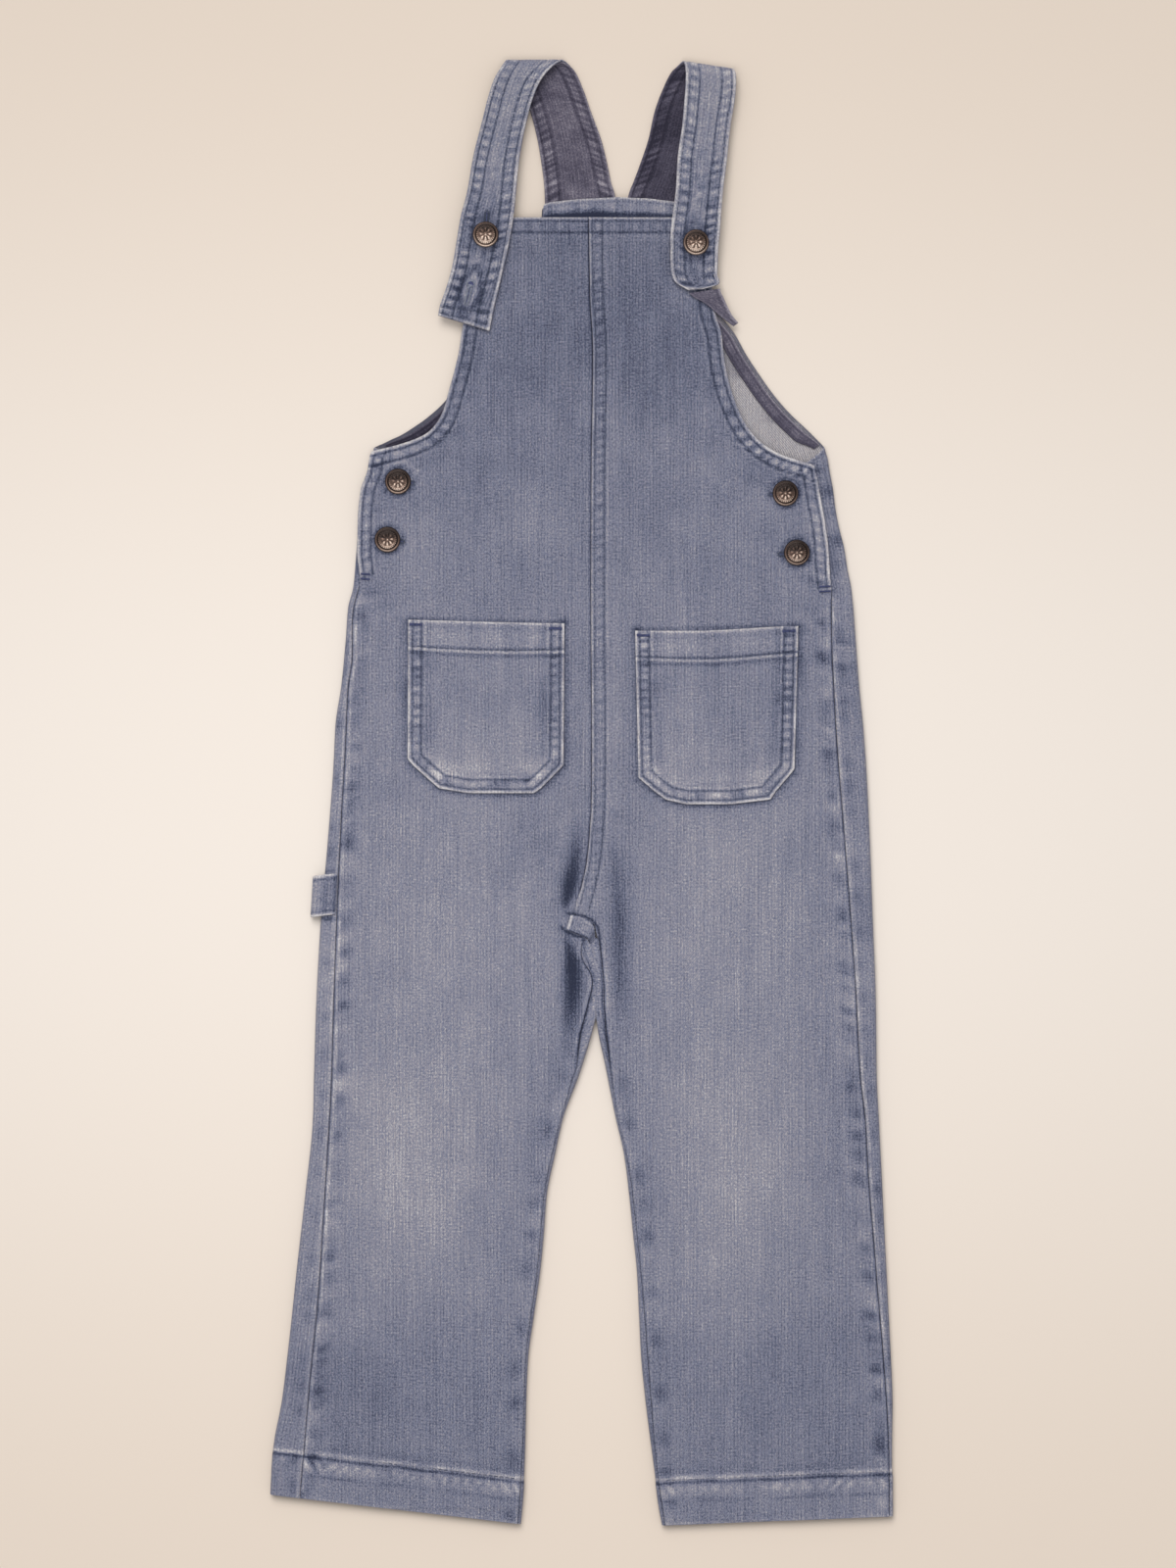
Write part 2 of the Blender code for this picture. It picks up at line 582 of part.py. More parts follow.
tabHeight = tubeHeight + fellRaise + seamGap
tabLow = np.array([[(x, y, tabHeight) for x, y in line] for line in (tabTop, tabBottom)], float)
sheet("seat_seam_end", tabLow + (0, 0, plateWall), tabLow, "denim")

cutters = {"front_left": [], "front_right": [], "strap_left": [], "strap_right": []}
for name, x, y, lies, direction in buttons:
    side = left if "left" in name else right
    word = "left" if "left" in name else "right"
    if lies == "front":
        face = float(side.frontTop(np.array(x), np.array(y)))
        foot = lapHeight + seamGap
        hole = keyhole(x, y, direction, slitLength, face - wall - 1, face + 1)
        cutters["front_" + word].append(hole)
    else:
        rows = np.array(strapLeftRows if word == "left" else strapRightRows)[:9]
        near = y + np.linspace(-1, 1, 9) * buttonRadius * perMm
        face = float(np.interp(near, np.sort(rows[:, 1]), rows[np.argsort(rows[:, 1]), 4]).max())
        foot = frontHeight[0][1] + bibHemRaise + seamGap
        hole = keyhole(x, y, direction, strapSlitLength, face - 4, face + 2)
        cutters["strap_" + word].append(hole)
    base = face + seamGap
    profile = [(0, foot), (shankRadius, foot), (shankRadius, base), (buttonRadius - 0.3, base)]
    profile += [(buttonRadius, base + 0.5), (buttonRadius - 0.2, base + 1.0), (buttonRadius - 1.0, base + 1.2)]
    profile += [(buttonRadius - 1.5, base + 1.0), (buttonRadius - 3.2, base + 1.8)]
    profile += [(2.0, base + buttonRise - 0.1)]
    profile += [(0, base + buttonRise)]
    turned(name, x, y, profile, "metal")
spare = keyhole(spareHole["x"], spareHole["y"], spareHole["direction"], slitLength + 1, 2, 12)
cutters["strap_left"].append(spare)

for old in list(bpy.data.objects):
    bpy.data.objects.remove(old, do_unlink=True)

everything = np.concatenate([points for points, _, _ in solids.values()])
middle = (everything.min(axis=0) + everything.max(axis=0)) / 2
colours = {"denim": denimColour, "lining": liningColour, "metal": metalColour}


def place(points):
    points = np.asarray(points, float)
    x = (points[:, 0] - middle[0]) * step
    y = (middle[1] - points[:, 1]) * step
    return np.stack([x, y, points[:, 2] / 1000], axis=1)


def build(name, points, faces, colour, metallic):
    mesh = bpy.data.meshes.new(name)
    mesh.from_pydata(place(points).tolist(), [], [[int(k) for k in f] for f in faces])
    mesh.validate()
    mesh.update()
    made = bpy.data.objects.new(name, mesh)
    bpy.context.collection.objects.link(made)
    material = bpy.data.materials.new(name)
    material.use_nodes = True
    shader = material.node_tree.nodes["Principled BSDF"]
    shader.inputs["Base Color"].default_value = colour
    shader.inputs["Metallic"].default_value = metallic
    shader.inputs["Roughness"].default_value = 0.45 if metallic else 0.9
    mesh.materials.append(material)
    return made


for name, (points, faces, slot) in solids.items():
    build(name, points, faces, colours[slot], 1.0 if slot == "metal" else 0.0)

for target, parts in cutters.items():
    points, faces = joined(parts)
    faces = outwards(np.array(points), faces)
    cutter = build("holes_" + target, points, faces, denimColour, 0)
    cutter.hide_render = True
    cutter.display_type = "WIRE"
    targets = [target]
    if target.startswith("strap"):
        targets.append(target.replace("strap_", "strap_lining_"))
    for node in targets:
        cut = bpy.data.objects[node].modifiers.new("holes", "BOOLEAN")
        cut.operation = "DIFFERENCE"
        cut.solver = "EXACT"
        cut.object = cutter
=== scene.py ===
# Child's denim dungarees lying flat, front up, seen from straight above.
# Positions are on the measuring grid of the solids: x to the right, y down the legs, z in mm.
import math

import bpy
import numpy as np
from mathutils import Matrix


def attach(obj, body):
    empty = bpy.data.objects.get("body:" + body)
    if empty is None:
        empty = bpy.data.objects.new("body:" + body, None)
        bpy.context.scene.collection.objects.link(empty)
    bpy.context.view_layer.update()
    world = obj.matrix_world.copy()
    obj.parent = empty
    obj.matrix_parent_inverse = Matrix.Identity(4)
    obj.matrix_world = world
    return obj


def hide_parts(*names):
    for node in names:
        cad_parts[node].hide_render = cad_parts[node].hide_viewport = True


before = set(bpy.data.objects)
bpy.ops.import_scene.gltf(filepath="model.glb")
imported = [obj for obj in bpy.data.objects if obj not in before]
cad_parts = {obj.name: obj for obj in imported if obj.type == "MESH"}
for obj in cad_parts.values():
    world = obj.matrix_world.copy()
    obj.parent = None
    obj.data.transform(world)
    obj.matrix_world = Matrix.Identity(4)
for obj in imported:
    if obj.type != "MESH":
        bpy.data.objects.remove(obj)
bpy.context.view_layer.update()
print("frame loaded")

gridStep = 0.56  # mm for one grid step
perMm = 1 / gridStep
gridMiddle = (593.5, 808.584)  # the grid point over the frame's origin
tubeHeight = 5.6  # a leg, in mm
lapHeight = 4.1  # a back where a front lies on it
bibTop, crotchRow, legsPart = 222, 957, 1040

look = {
    "view": "Standard",
    "worldColour": (0.97, 0.98, 1.0),
    "worldStrength": 0.465,
    "sunStrength": 1.5,
    "sunAngle": 40,  # degrees, softness of the shadows
    "sunTurn": (-34, -9),  # tilt towards the straps and to the left
    "sunColour": (1.0, 0.99, 0.97),
    "glowPower": 1.15,
    "glowSize": 0.5,
    "glowColour": (1.0, 0.985, 0.97),
    "glowPlace": (-0.1, 0.0, 0.72),
    "sensor": 36,
    "cameraHeight": 2.2,
    "frameWidth": 0.672,
    "cameraAim": (600, 800),
}


def srgb(r, g, b):
    parts = [c / 255 for c in (r, g, b)]
    return tuple(c / 12.92 if c <= 0.04045 else ((c + 0.055) / 1.055) ** 2.4 for c in parts) + (1.0,)


# Shapes shared with the solids

frontLeftEdge = [
    (222, 492), (290, 479.5), (339, 471), (359, 468), (384, 462), (400, 457.4), (413, 454.2),
    (427, 448.4), (436, 442), (443, 434), (449, 421), (454, 406), (457.5, 392), (461, 379),
    (467, 377), (480, 375), (500, 368), (532, 365), (565, 364.5), (592, 367.5), (615, 362),
    (631, 359.6), (670, 359.4), (703, 355), (759, 352.5), (840, 348), (940, 343.5), (1040, 340),
    (1100, 338.4), (1200, 332.6), (1320, 325), (1420, 316), (1484, 311), (1540, 306),
]
frontRightEdge = [
    (222, 715), (270, 724), (320, 730.4), (341, 736.5), (361, 738.6), (384, 742.7), (408, 749.8),
    (431, 760), (449, 774), (463, 795), (469, 812), (475.4, 830.6), (483, 833), (509, 837.5),
    (535, 842.4), (559, 845.4), (590, 847.4), (602, 848.4), (640, 848.5), (698, 850.6),
    (759, 854.2), (820, 858.9), (882, 863.9), (945, 868.8), (1016, 873.6), (1098, 878),
    (1142, 883), (1203, 886.4), (1270, 892), (1320, 895.9), (1380, 901), (1456, 906),
    (1495, 907.6), (1552, 907.6),
]
centreSeam = [
    (222, 600.6), (300, 602), (360, 605), (480, 603.3), (605, 603), (760, 603.8), (820, 603.4),
    (847, 601.8), (877, 599), (906, 593), (932, 586),
]
frontLeftInner = centreSeam + [
    (941, 590), (950, 595), (956, 598.7), (964, 593.9), (972, 593.4), (983, 596.8), (992, 602.5),
    (1001, 604.9), (1010, 604.2), (1020, 601.6), (1039, 596.8), (1053, 593), (1091, 588),
    (1100, 584.5), (1124, 578), (1172, 565), (1220, 555.5), (1300, 548), (1380, 537), (1460, 533.5),
    (1540, 529),
]
frontRightInner = centreSeam + [
    (938, 598), (943.5, 606.4), (950, 608), (963, 611.6), (982, 614), (1006, 616), (1025, 616.4),
    (1044, 617.8), (1060, 619.3), (1100, 624), (1142, 630.5), (1178, 639), (1203, 643.5),
    (1257, 649.7), (1320, 656), (1380, 661), (1418, 663.9), (1466, 667.7), (1495, 670.5),
    (1552, 678.5),
]
foldLeft = [
    (204, 381), (455, 381), (480, 377.5), (500, 370), (520, 367), (540, 365), (560, 363.5), (580, 362),
    (600, 360), (620, 355), (660, 352), (700, 348), (740, 342), (780, 340), (860, 334), (940, 327),
    (1020, 322.5), (1100, 320), (1140, 319), (1220, 311), (1300, 302), (1380, 294), (1440, 287.5),
    (1494, 278.5), (1540, 276),
]
foldRight = [
    (204, 842), (456, 842), (468, 845), (481, 847), (500, 850.5), (520, 853), (540, 857), (560, 862),
    (580, 865), (600, 869), (620, 871), (660, 874), (700, 877), (740, 881), (780, 884), (860, 888),
    (940, 891), (1020, 894), (1100, 895), (1140, 897), (1220, 901), (1300, 905), (1380, 909),
    (1440, 911), (1490, 910.5), (1552, 911),
]
backCentre = [
    (204, 630), (450, 622), (700, 613), (915, 604.5), (957, 603.8), (980, 606), (1001, 608.3), (1040, 608),
]
innerFoldLeft = [
    (1040, 607.7), (1060, 602.5), (1080, 596.5), (1100, 590), (1140, 575), (1180, 566), (1220, 558),
    (1260, 555), (1300, 551), (1340, 545), (1380, 539), (1420, 537), (1460, 536), (1500, 534.5),
    (1540, 531),
]
innerFoldRight = [
    (1040, 608.3), (1060, 611.5), (1080, 616), (1100, 620), (1140, 628), (1180, 637), (1220, 642),
    (1260, 646), (1300, 650), (1340, 652), (1380, 654), (1420, 658), (1460, 663), (1494, 667.5),
    (1530, 672), (1552, 676),
]
startLeft = [
    (204, -172), (240, -170), (280, -155), (320, -139), (360, -108), (400, -80), (413, -69), (427, -53),
    (434, -43), (444, -27), (448, -18), (452, -10), (456, 0), (460, 9), (466, 20), (474, 34), (484, 50),
    (574, 50), (584, 28), (592, 6.6),
]
startRight = [
    (204, -142), (240, -136), (280, -122), (320, -107), (340, -92), (360, -81), (380, -68), (400, -54),
    (420, -37), (440, -16), (448, -8), (452, -4), (456, 0), (463, 9.5), (471, 22), (478, 40), (486, 66),
    (580, 66), (592, 40), (602, 20),
]
frontHeight = [
    (204, 6.5), (240, 6.5), (252, 5.6), (266, 4.5), (300, 4.1), (400, 4.5), (430, 5.3), (450, 5.6),
    (480, 5.6),
]
strapLeftRows = [
    (447, 322, 499.5, 338, 6.9), (449, 312, 503.4, 318, 6.9), (455, 295, 508, 299, 7.0),
    (460.6, 276, 513.4, 276, 7.4), (464.4, 257, 518.8, 253, 8.9), (467.5, 238, 522, 236, 9.7),
    (470.5, 221, 524.5, 219, 9.7), (476, 200, 526.5, 199, 9.3), (483, 160, 530.5, 160, 7.8),
    (493, 120, 538.5, 120, 7.4), (498, 100, 543.5, 102, 7.6), (505, 80, 553, 81, 8.0),
    (511, 69.5, 563, 69, 7.6), (515, 63, 570, 63, 6.2), (517, 60.5, 574, 60.5, 3.9), (520, 63, 579, 63, 1.3),
    (524, 69.5, 585, 69.5, 0), (533, 90, 595, 90, 0), (541, 113, 603, 113, 0), (548, 140, 613, 140, 0),
    (553, 170, 620.5, 170, 0), (555, 186, 624, 187, 0), (555.8, 200, 627.8, 200, 1.5),
    (556, 221, 629, 221, 1.5),
]
strapRightRows = [
    (702, 296.4, 717, 295.3, 7.0), (691, 290, 732, 291, 7.0), (685.5, 281, 732, 281, 7.2),
    (684, 268, 732.5, 268, 7.9), (683.8, 253, 733, 253, 9.0), (684, 238, 734.5, 238, 9.7),
    (686, 221, 735.6, 221, 9.7), (689, 198, 737.5, 198, 9.3), (691.4, 161, 742, 161, 7.8),
    (696.3, 125, 746, 125, 7.4), (698.5, 100, 749.5, 104, 7.6), (699.5, 84, 751, 89, 8.0),
    (699.5, 71.5, 751, 78, 7.6), (698.5, 64.5, 750, 72, 6.2), (697, 61.5, 748.5, 69.5, 3.9),
    (693, 64.5, 745, 72, 1.3), (686.5, 71, 740, 78, 0), (676, 91, 734, 94, 0), (668, 113, 730, 115, 0),
    (662, 140, 727.5, 141, 0), (652, 170, 718, 171, 0), (646, 186, 711, 187, 0), (641, 200, 705, 200, 1.5),
    (638.5, 221, 699, 221, 1.5),
]
tailRows = [
    (702, 298, 734.5, 293, 5.8), (706, 302, 735.5, 298, 5.9), (719, 309.5, 738, 303, 5.6),
    (731, 319.5, 743, 314, 5.5), (741.5, 328, 748, 323, 5.4), (748.5, 333, 753.5, 329.5, 5.3),
]
pocketLeftRows = [
    (635, 416.7, 576), (664.5, 416.6, 575.8), (720, 416.3, 575.5), (774.5, 416, 575.2),
    (781, 421.5, 575.1), (795, 437, 561.5), (804.5, 448, 552), (809.5, 478, 545),
]
pocketRightRows = [
    (642, 648, 814.4), (671.5, 648.6, 813.8), (730, 649.8, 812.2), (785, 651.2, 810.6),
    (793.6, 651.4, 803.5), (807, 667, 792), (816, 679, 786), (820.8, 700, 745),
]


def follow(table, at):
    # smooth values of a two-column table, without overshoot
    xs, ys = np.array(table, float).T
    slopes = np.diff(ys) / np.diff(xs)
    before, after = slopes[:-1], slopes[1:]
    inside = np.where(before * after > 0, 2 * before * after / (before + after + 1e-12), 0)
    ends = np.concatenate([slopes[:1], inside, slopes[-1:]])
    at = np.clip(np.asarray(at, float), xs[0], xs[-1])
    k = np.clip(np.searchsorted(xs, at) - 1, 0, len(xs) - 2)
    width = xs[k + 1] - xs[k]
    t = (at - xs[k]) / width
    return (
        (1 + 2 * t) * (1 - t) ** 2 * ys[k]
        + t * (1 - t) ** 2 * width * ends[k]
        + t**2 * (3 - 2 * t) * ys[k + 1]
        + t**2 * (t - 1) * width * ends[k + 1]
    )


def ease(value, start, end):
    t = np.clip((np.asarray(value, float) - start) / (end - start), 0, 1)
    return t * t * (3 - 2 * t)


def bump(value, middle, half):
    # 1 at the middle, falling smoothly over about half on each side
    return np.exp(-(((np.asarray(value, float) - middle) / half) ** 2))


def squareness(y):
    return 0.2 + 0.8 * ease(y, 1032, 1100)


def foldDrop(distance, height, power):
    radius = height / 2
    sine = np.clip(1 - distance / radius, 0, 1) ** (1 / power)
    return radius * (1 - (1 - sine**2) ** (power / 2))


def cellNoise(value, pitch, seed):
    # smooth random values along a line, from -1 to 1
    cells = np.random.default_rng(seed).uniform(-1, 1, 997)
    at = np.asarray(value, float) / pitch
    low = np.floor(at).astype(int)
    t = at - low
    t = t * t * (3 - 2 * t)
    return cells[low % 997] * (1 - t) + cells[(low + 1) % 997] * t


def cloudNoise(x, y, pitch, seed):
    # smooth random values over an area, from -1 to 1
    cells = np.random.default_rng(seed).uniform(-1, 1, (211, 211))
    ax, ay = np.asarray(x, float) / pitch, np.asarray(y, float) / pitch
    lx, ly = np.floor(ax).astype(int), np.floor(ay).astype(int)
    tx, ty = ax - lx, ay - ly
    tx, ty = tx * tx * (3 - 2 * tx), ty * ty * (3 - 2 * ty)
    a, b = cells[lx % 211, ly % 211], cells[(lx + 1) % 211, ly % 211]
    c, d = cells[lx % 211, (ly + 1) % 211], cells[(lx + 1) % 211, (ly + 1) % 211]
    return (a * (1 - tx) + b * tx) * (1 - ty) + (c * (1 - tx) + d * tx) * ty


def ladder(along, seed, pitch):
    # alternate pulls along a stitched edge, a little uneven
    turn = along + 0.55 * pitch * cellNoise(along, pitch * 2.4, seed)
    wave = np.sin(2 * math.pi * turn / pitch)
    strength = 0.75 + 0.35 * cellNoise(along, pitch * 5, seed + 2)
    return np.tanh(1.7 * wave + 1.1 * cellNoise(along, pitch * 0.7, seed + 1)) * strength


def puckers(along, seed, gap=38, size=8):
    # rounded blots at uneven places along a seam, from 0 to 1
    rng = np.random.default_rng(seed)
    places = np.cumsum(rng.uniform(0.6, 1.5, 60) * gap)
    strengths = rng.uniform(0.45, 1.0, 60)
    sizes = rng.uniform(0.7, 1.3, 60) * size
    total = np.zeros(np.shape(along))
    for place, strength, wide in zip(places, strengths, sizes):
        total = np.maximum(total, strength * bump(along, place, wide))
    return total


def profile(rows, distance):
    # a cross section as a sum of bumps, each with its amount, middle and half width
    return sum(amount * bump(distance, middle, half) for amount, middle, half in rows)


def nearLine(line, x, y):
    # distance to a line and how far along it, both in grid steps
    line = np.asarray(line, float)
    a, b = line[:-1], line[1:]
    d = b - a
    length = np.hypot(d[:, 0], d[:, 1])
    start = np.concatenate([[0], np.cumsum(length)[:-1]])
    px, py = np.ravel(x), np.ravel(y)
    best = np.full(px.shape, np.inf)
    along = np.zeros(px.shape)
    for k in range(len(a)):
        t = ((px - a[k, 0]) * d[k, 0] + (py - a[k, 1]) * d[k, 1]) / max(length[k] ** 2, 1e-9)
        t = np.clip(t, 0, 1)
        away = (px - a[k, 0] - t * d[k, 0]) ** 2 + (py - a[k, 1] - t * d[k, 1]) ** 2
        closer = away < best
        best = np.where(closer, away, best)
        along = np.where(closer, start[k] + t * length[k], along)
    return np.sqrt(best).reshape(np.shape(x)), along.reshape(np.shape(x))


def awayFrom(line, x, y):
    return nearLine(line, x, y)[0]


def offsetLine(line, distance):
    line = np.asarray(line, float)
    along = np.gradient(line, axis=0)
    along /= np.linalg.norm(along, axis=1, keepdims=True) + 1e-9
    return line + np.stack([-along[:, 1], along[:, 0]], axis=1) * distance


class Side:
    # one half of the garment; sign is 1 on the left and -1 on the right
    def __init__(self, values):
        vars(self).update(values)
        self.lines = {
            "armhole": self.edgeLine(self.edge, bibTop, self.corner, 2.0),
            "placket": self.edgeLine(self.edge, self.corner, self.tack, 3.0),
            "side": self.edgeLine(self.edge, self.tack, self.hemRow, 6.0),
            "inside": self.edgeLine(self.inner, crotchRow, self.hemRow, 4.0),
            "centre": self.edgeLine(centreSeam, bibTop, 932, 6.0),
        }

    def lean(self, x, y):
        # the leg hems don't lie quite level
        return self.hemSlope * (x - self.hemMiddle) * ease(y, 1300, 1480)

    def lap(self, y):
        return 1 - ease(y, self.lapEnd, self.lapEnd + 13)

    def backHeight(self, y):
        return tubeHeight - (tubeHeight - lapHeight) * self.lap(y)

    def innerLine(self, y):
        apart = follow(self.innerFold, y)
        gap = 0.35 * perMm * (1 - ease(y, legsPart - 16, legsPart))
        return np.where(y < legsPart, follow(backCentre, y) + self.sign * gap, apart)

    def edgeLine(self, table, low, high, pitch=4.0):
        y = np.linspace(low, high, max(2, int((high - low) / pitch)))
        x = follow(table, y)
        return np.stack([x, y + self.lean(x, y)], axis=1)


left = Side({
    "word": "left", "sign": 1, "seed": 11, "edge": frontLeftEdge, "inner": frontLeftInner,
    "fold": foldLeft, "innerFold": innerFoldLeft, "start": startLeft, "pocket": pocketLeftRows,
    "bibEnds": (497, 599),
    "corner": 461, "lapEnd": 591, "tack": 592, "hemRow": 1540, "hemMiddle": 402, "hemSlope": 0.118,
})
right = Side({
    "word": "right", "sign": -1, "seed": 23, "edge": frontRightEdge, "inner": frontRightInner,
    "fold": foldRight, "innerFold": innerFoldRight, "start": startRight, "pocket": pocketRightRows,
    "bibEnds": (604, 712),
    "corner": 475.4, "lapEnd": 607, "tack": 604, "hemRow": 1552, "hemMiddle": 793, "hemSlope": -0.04,
})

# Buttons with place, height and turn, then their holes with direction, length and height
buttons = [
    ("button_strap_left", (495.8, 240.7), 10.0, 0.3, (0.06, -1), 13.4, 9.8),
    ("button_strap_right", (710, 248.7), 10.0, 0.9, (-0.02, -1), 13.4, 9.4),
    ("button_side_left_upper", (406.2, 491.5), 5.9, 0.5, (1, 0.1), 9.2, 5.75),
    ("button_side_left_lower", (395.5, 550.7), 5.9, 1.3, (1, 0.12), 9.4, 5.75),
    ("button_side_right_upper", (801.4, 503.5), 5.9, 0.1, (-1, 0.08), 9.6, 5.75),
    ("button_side_right_lower", (813, 564), 5.9, 0.7, (-1, 0.1), 10.4, 5.75),
]
buttonPlace = {name: place for name, place, *others in buttons}
spareHole = {"place": (480.5, 290.5), "direction": (-0.24, 1), "length": 11.5, "height": 7.15}

# Folds, seams and fading of the fronts

frontLook = {
    "hemDepth": 44.5,
    "hemRaise": 0.4,
    "bibHemRaise": 0.35,
    "fellRaise": 0.45,
    "pucker": 0.3,
    "puckerTone": 0.21,
    "worn": 0.36,
    "blotTone": 0.23,
    "ridge": {"left": 0.36, "right": 0.16},  # worn line along the side seam
    "openingEdge": {"left": 0.06, "right": 0.2},
}
# Faded areas: x, y, half width, half height, tone
fades = [
    (440, 900, 80, 120, 0.095),
    (735, 905, 85, 120, 0.1),
    (425, 1205, 75, 115, 0.175),
    (745, 1205, 80, 115, 0.145),
    (430, 1040, 90, 120, 0.05),
    (750, 1040, 90, 120, 0.05),
    (560, 330, 90, 120, -0.06),
    (650, 330, 80, 130, -0.08),
    (610, 560, 200, 80, -0.03),
    (390, 1420, 110, 80, -0.05),
    (800, 1420, 120, 80, -0.025),
    (600, 850, 60, 60, -0.05),
]
# Broad soft creases: x, y, half width, half length, lean (x for one y), height in mm, tone of their painted
# shade and light
creases = [
    (571, 890, 6.5, 40, -0.12, 0.5, 0.04),
    (568, 1003, 7, 46, 0.02, 0.5, 0.03),
    (617, 985, 6, 60, 0.05, 0.5, 0.08),
    (634, 960, 10, 120, 0.02, -0.6, -0.13),
    (655, 960, 12, 100, 0.02, 0.35, 0.03),
    (352, 1150, 10, 90, -0.05, 0.3, 0.0),
    (866, 1180, 9, 110, 0.07, 0.35, 0.0),
    (848, 1230, 12, 120, 0.07, -0.35, -0.03),
    (560, 1120, 10, 80, -0.3, -0.3, -0.05),
    (640, 1130, 9, 70, 0.2, -0.3, -0.05),
    (470, 1080, 22, 90, 0.25, 0.3, 0.0),
    (700, 1090, 22, 90, -0.2, 0.3, 0.0),
    (480, 500, 30, 70, 0.15, 0.25, 0.0),
    (700, 520, 30, 70, -0.2, 0.25, 0.0),
    (540, 870, 9, 70, -0.35, 0.3, 0.02),
    (520, 880, 12, 70, -0.4, -0.25, -0.03),
]
# Deep folds beside the crotch, as rows of y, x, width to the left, width to the right, tone, height in mm;
# the tone is their painted shade
upperFold = [
    (842, 592, 8, 5, 0.0, 0.0), (862, 589, 9, 7, -0.16, -0.4), (880, 586, 9, 8, -0.36, -0.9),
    (895, 583.5, 9, 8, -0.56, -1.3), (908, 580.8, 8, 7, -0.66, -1.4), (918, 578.6, 6.5, 6, -0.54, -0.9),
    (928, 576, 5, 4, -0.18, -0.3), (940, 574.5, 4, 3, 0.0, 0.0),
]
lowerFold = [
    (948, 575, 3, 5, 0.0, 0.0), (956, 576.5, 3.5, 6, -0.2, -0.4), (966, 579.5, 4.5, 8, -0.42, -0.9),
    (978, 582.5, 6, 9.5, -0.66, -1.3), (990, 583.5, 7.5, 11, -0.7, -1.4), (1004, 583.5, 8, 12, -0.66, -1.2),
    (1018, 583, 8, 12, -0.56, -0.9), (1036, 582, 8, 11, -0.42, -0.6), (1054, 582, 9, 9, -0.2, -0.3),
    (1084, 580, 8, 8, 0.0, 0.0),
]
rightFold = [
    (846, 622, 8, 8, 0.0, 0.0), (880, 626, 9, 9, -0.1, -0.2), (930, 631, 7, 9, -0.16, -0.3),
    (985, 633, 8, 10, -0.14, -0.3), (1050, 636, 8, 10, 0.0, 0.0),
]
# Small pulled wrinkles with their painted shade and highlights, and painted shadows: x, y, half width, half
# height, slope, tone
wrinklesAndShadows = [
    (366, 664, 8, 14, 0.0, 0.15), (367, 694, 7, 8, 0.0, 0.1), (824, 547, 10, 3.5, 0.1, -0.15),
    (818, 573, 13, 4, 0.15, -0.13), (828, 592, 10, 4, 0.3, -0.16),
    (826, 622, 20, 5, 0.25, -0.1), (834, 640, 16, 3, 0.3, 0.15), (806, 640, 26, 6, 0.2, -0.07),
    (862, 655, 10, 3.5, 0.0, -0.18), (857, 661, 6, 2.5, 0.2, 0.16), (860, 680, 13, 4, 0.05, -0.2),
    (855, 672, 8, 2.5, 0.3, 0.13), (860, 716, 9, 4, 0.0, -0.15), (388, 520, 9, 3, -0.2, -0.12),
    (380, 604, 14, 4, 0.1, -0.1), (392, 618, 18, 5, -0.15, -0.08), (364, 640, 9, 5, -0.3, 0.1),
    (412, 620, 30, 7, -0.1, 0.05), (440, 470, 26, 6, -0.35, -0.07), (770, 490, 26, 6, 0.35, -0.07),
    (560, 846, 22, 5, -0.5, 0.05), (548, 858, 24, 6, -0.5, -0.06), (536, 905, 20, 5, -0.8, 0.06),
    (640, 835, 16, 5, 0.4, -0.06), (655, 870, 22, 6, 0.6, 0.05), (560, 925, 12, 6, -0.6, -0.08),
    # painted shadows above and below the tool loop, and at the top of the right side opening
    (333, 888.5, 12, 2.0, -0.12, -0.4), (333, 937.5, 12, 2.2, 0.0, -0.35), (835, 481, 5, 5, 0.0, -0.28),
    (843, 500, 9, 6, 0.0, -0.17), (855, 554, 8, 8, 0.0, -0.17), (861, 585, 8, 8, 0.0, 0.08),
]
# Turned-in corners of the pockets, in the same form
cornerMarks = [
    (455, 797, 4.5, 3.5, 0.4, -0.34), (446, 789, 9, 3, 0.75, 0.24), (538, 796.5, 5, 3, -0.6, -0.34),
    (549, 790, 8, 3.5, -0.8, 0.24), (667, 784, 6, 4, 0.8, 0.16), (678, 800, 5, 3.5, 0.7, -0.12),
    (797, 790, 8, 4, -0.8, 0.16), (786, 797, 4, 3, -0.8, -0.12),
]
# Edges of the tab and of the legs at the crotch, along which painted shadow lines run
crotchLines = [
    [
        (580, 932), (590, 933.5), (597, 935), (604.5, 939), (609.5, 945), (611.7, 954), (613.2, 976),
        (614, 994), (615, 1019), (618, 1057), (622.5, 1085), (625.5, 1110),
    ],
    [
        (573, 946), (577, 950), (586, 954.5), (594, 956.5), (596, 960), (595.6, 969.5), (598.5, 979),
        (605, 994), (606.4, 1004), (602.6, 1019), (592, 1057), (582, 1110),
    ],
]


def crotchShadows(x, y):
    # painted shadow: dark lines where the tab and the two legs meet
    part = ((y > 920) & (y < 1125)) * (1 - ease(y, 1060, 1112))
    tone = 0 * x
    for line in crotchLines:
        tone -= profile([(0.4, 0, 1.5), (0.08, 0, 4)], awayFrom(line, x, y)) * part
    return tone


def deepFold(rows, x, y):
    # height and painted shade of a fold with its own width on each side
    rows = np.array(rows, float)
    place, before, after, tone, height = (np.interp(y, rows[:, 0], rows[:, k]) for k in range(1, 6))
    away = (x - place) / np.where(x < place, before, after)
    part = np.exp(-(away**2)) * ((y > rows[0, 0]) & (y < rows[-1, 0]))
    return height * part, tone * part


def wrinkleTone(x, y, marks):
    total = 0 * x
    for wx, wy, halfWidth, halfHeight, slope, tone in marks:
        across = (x - wx) / halfWidth
        down = (y - wy - slope * (x - wx)) / halfHeight
        total += tone * np.exp(-(across**2) - down**2)
    return total


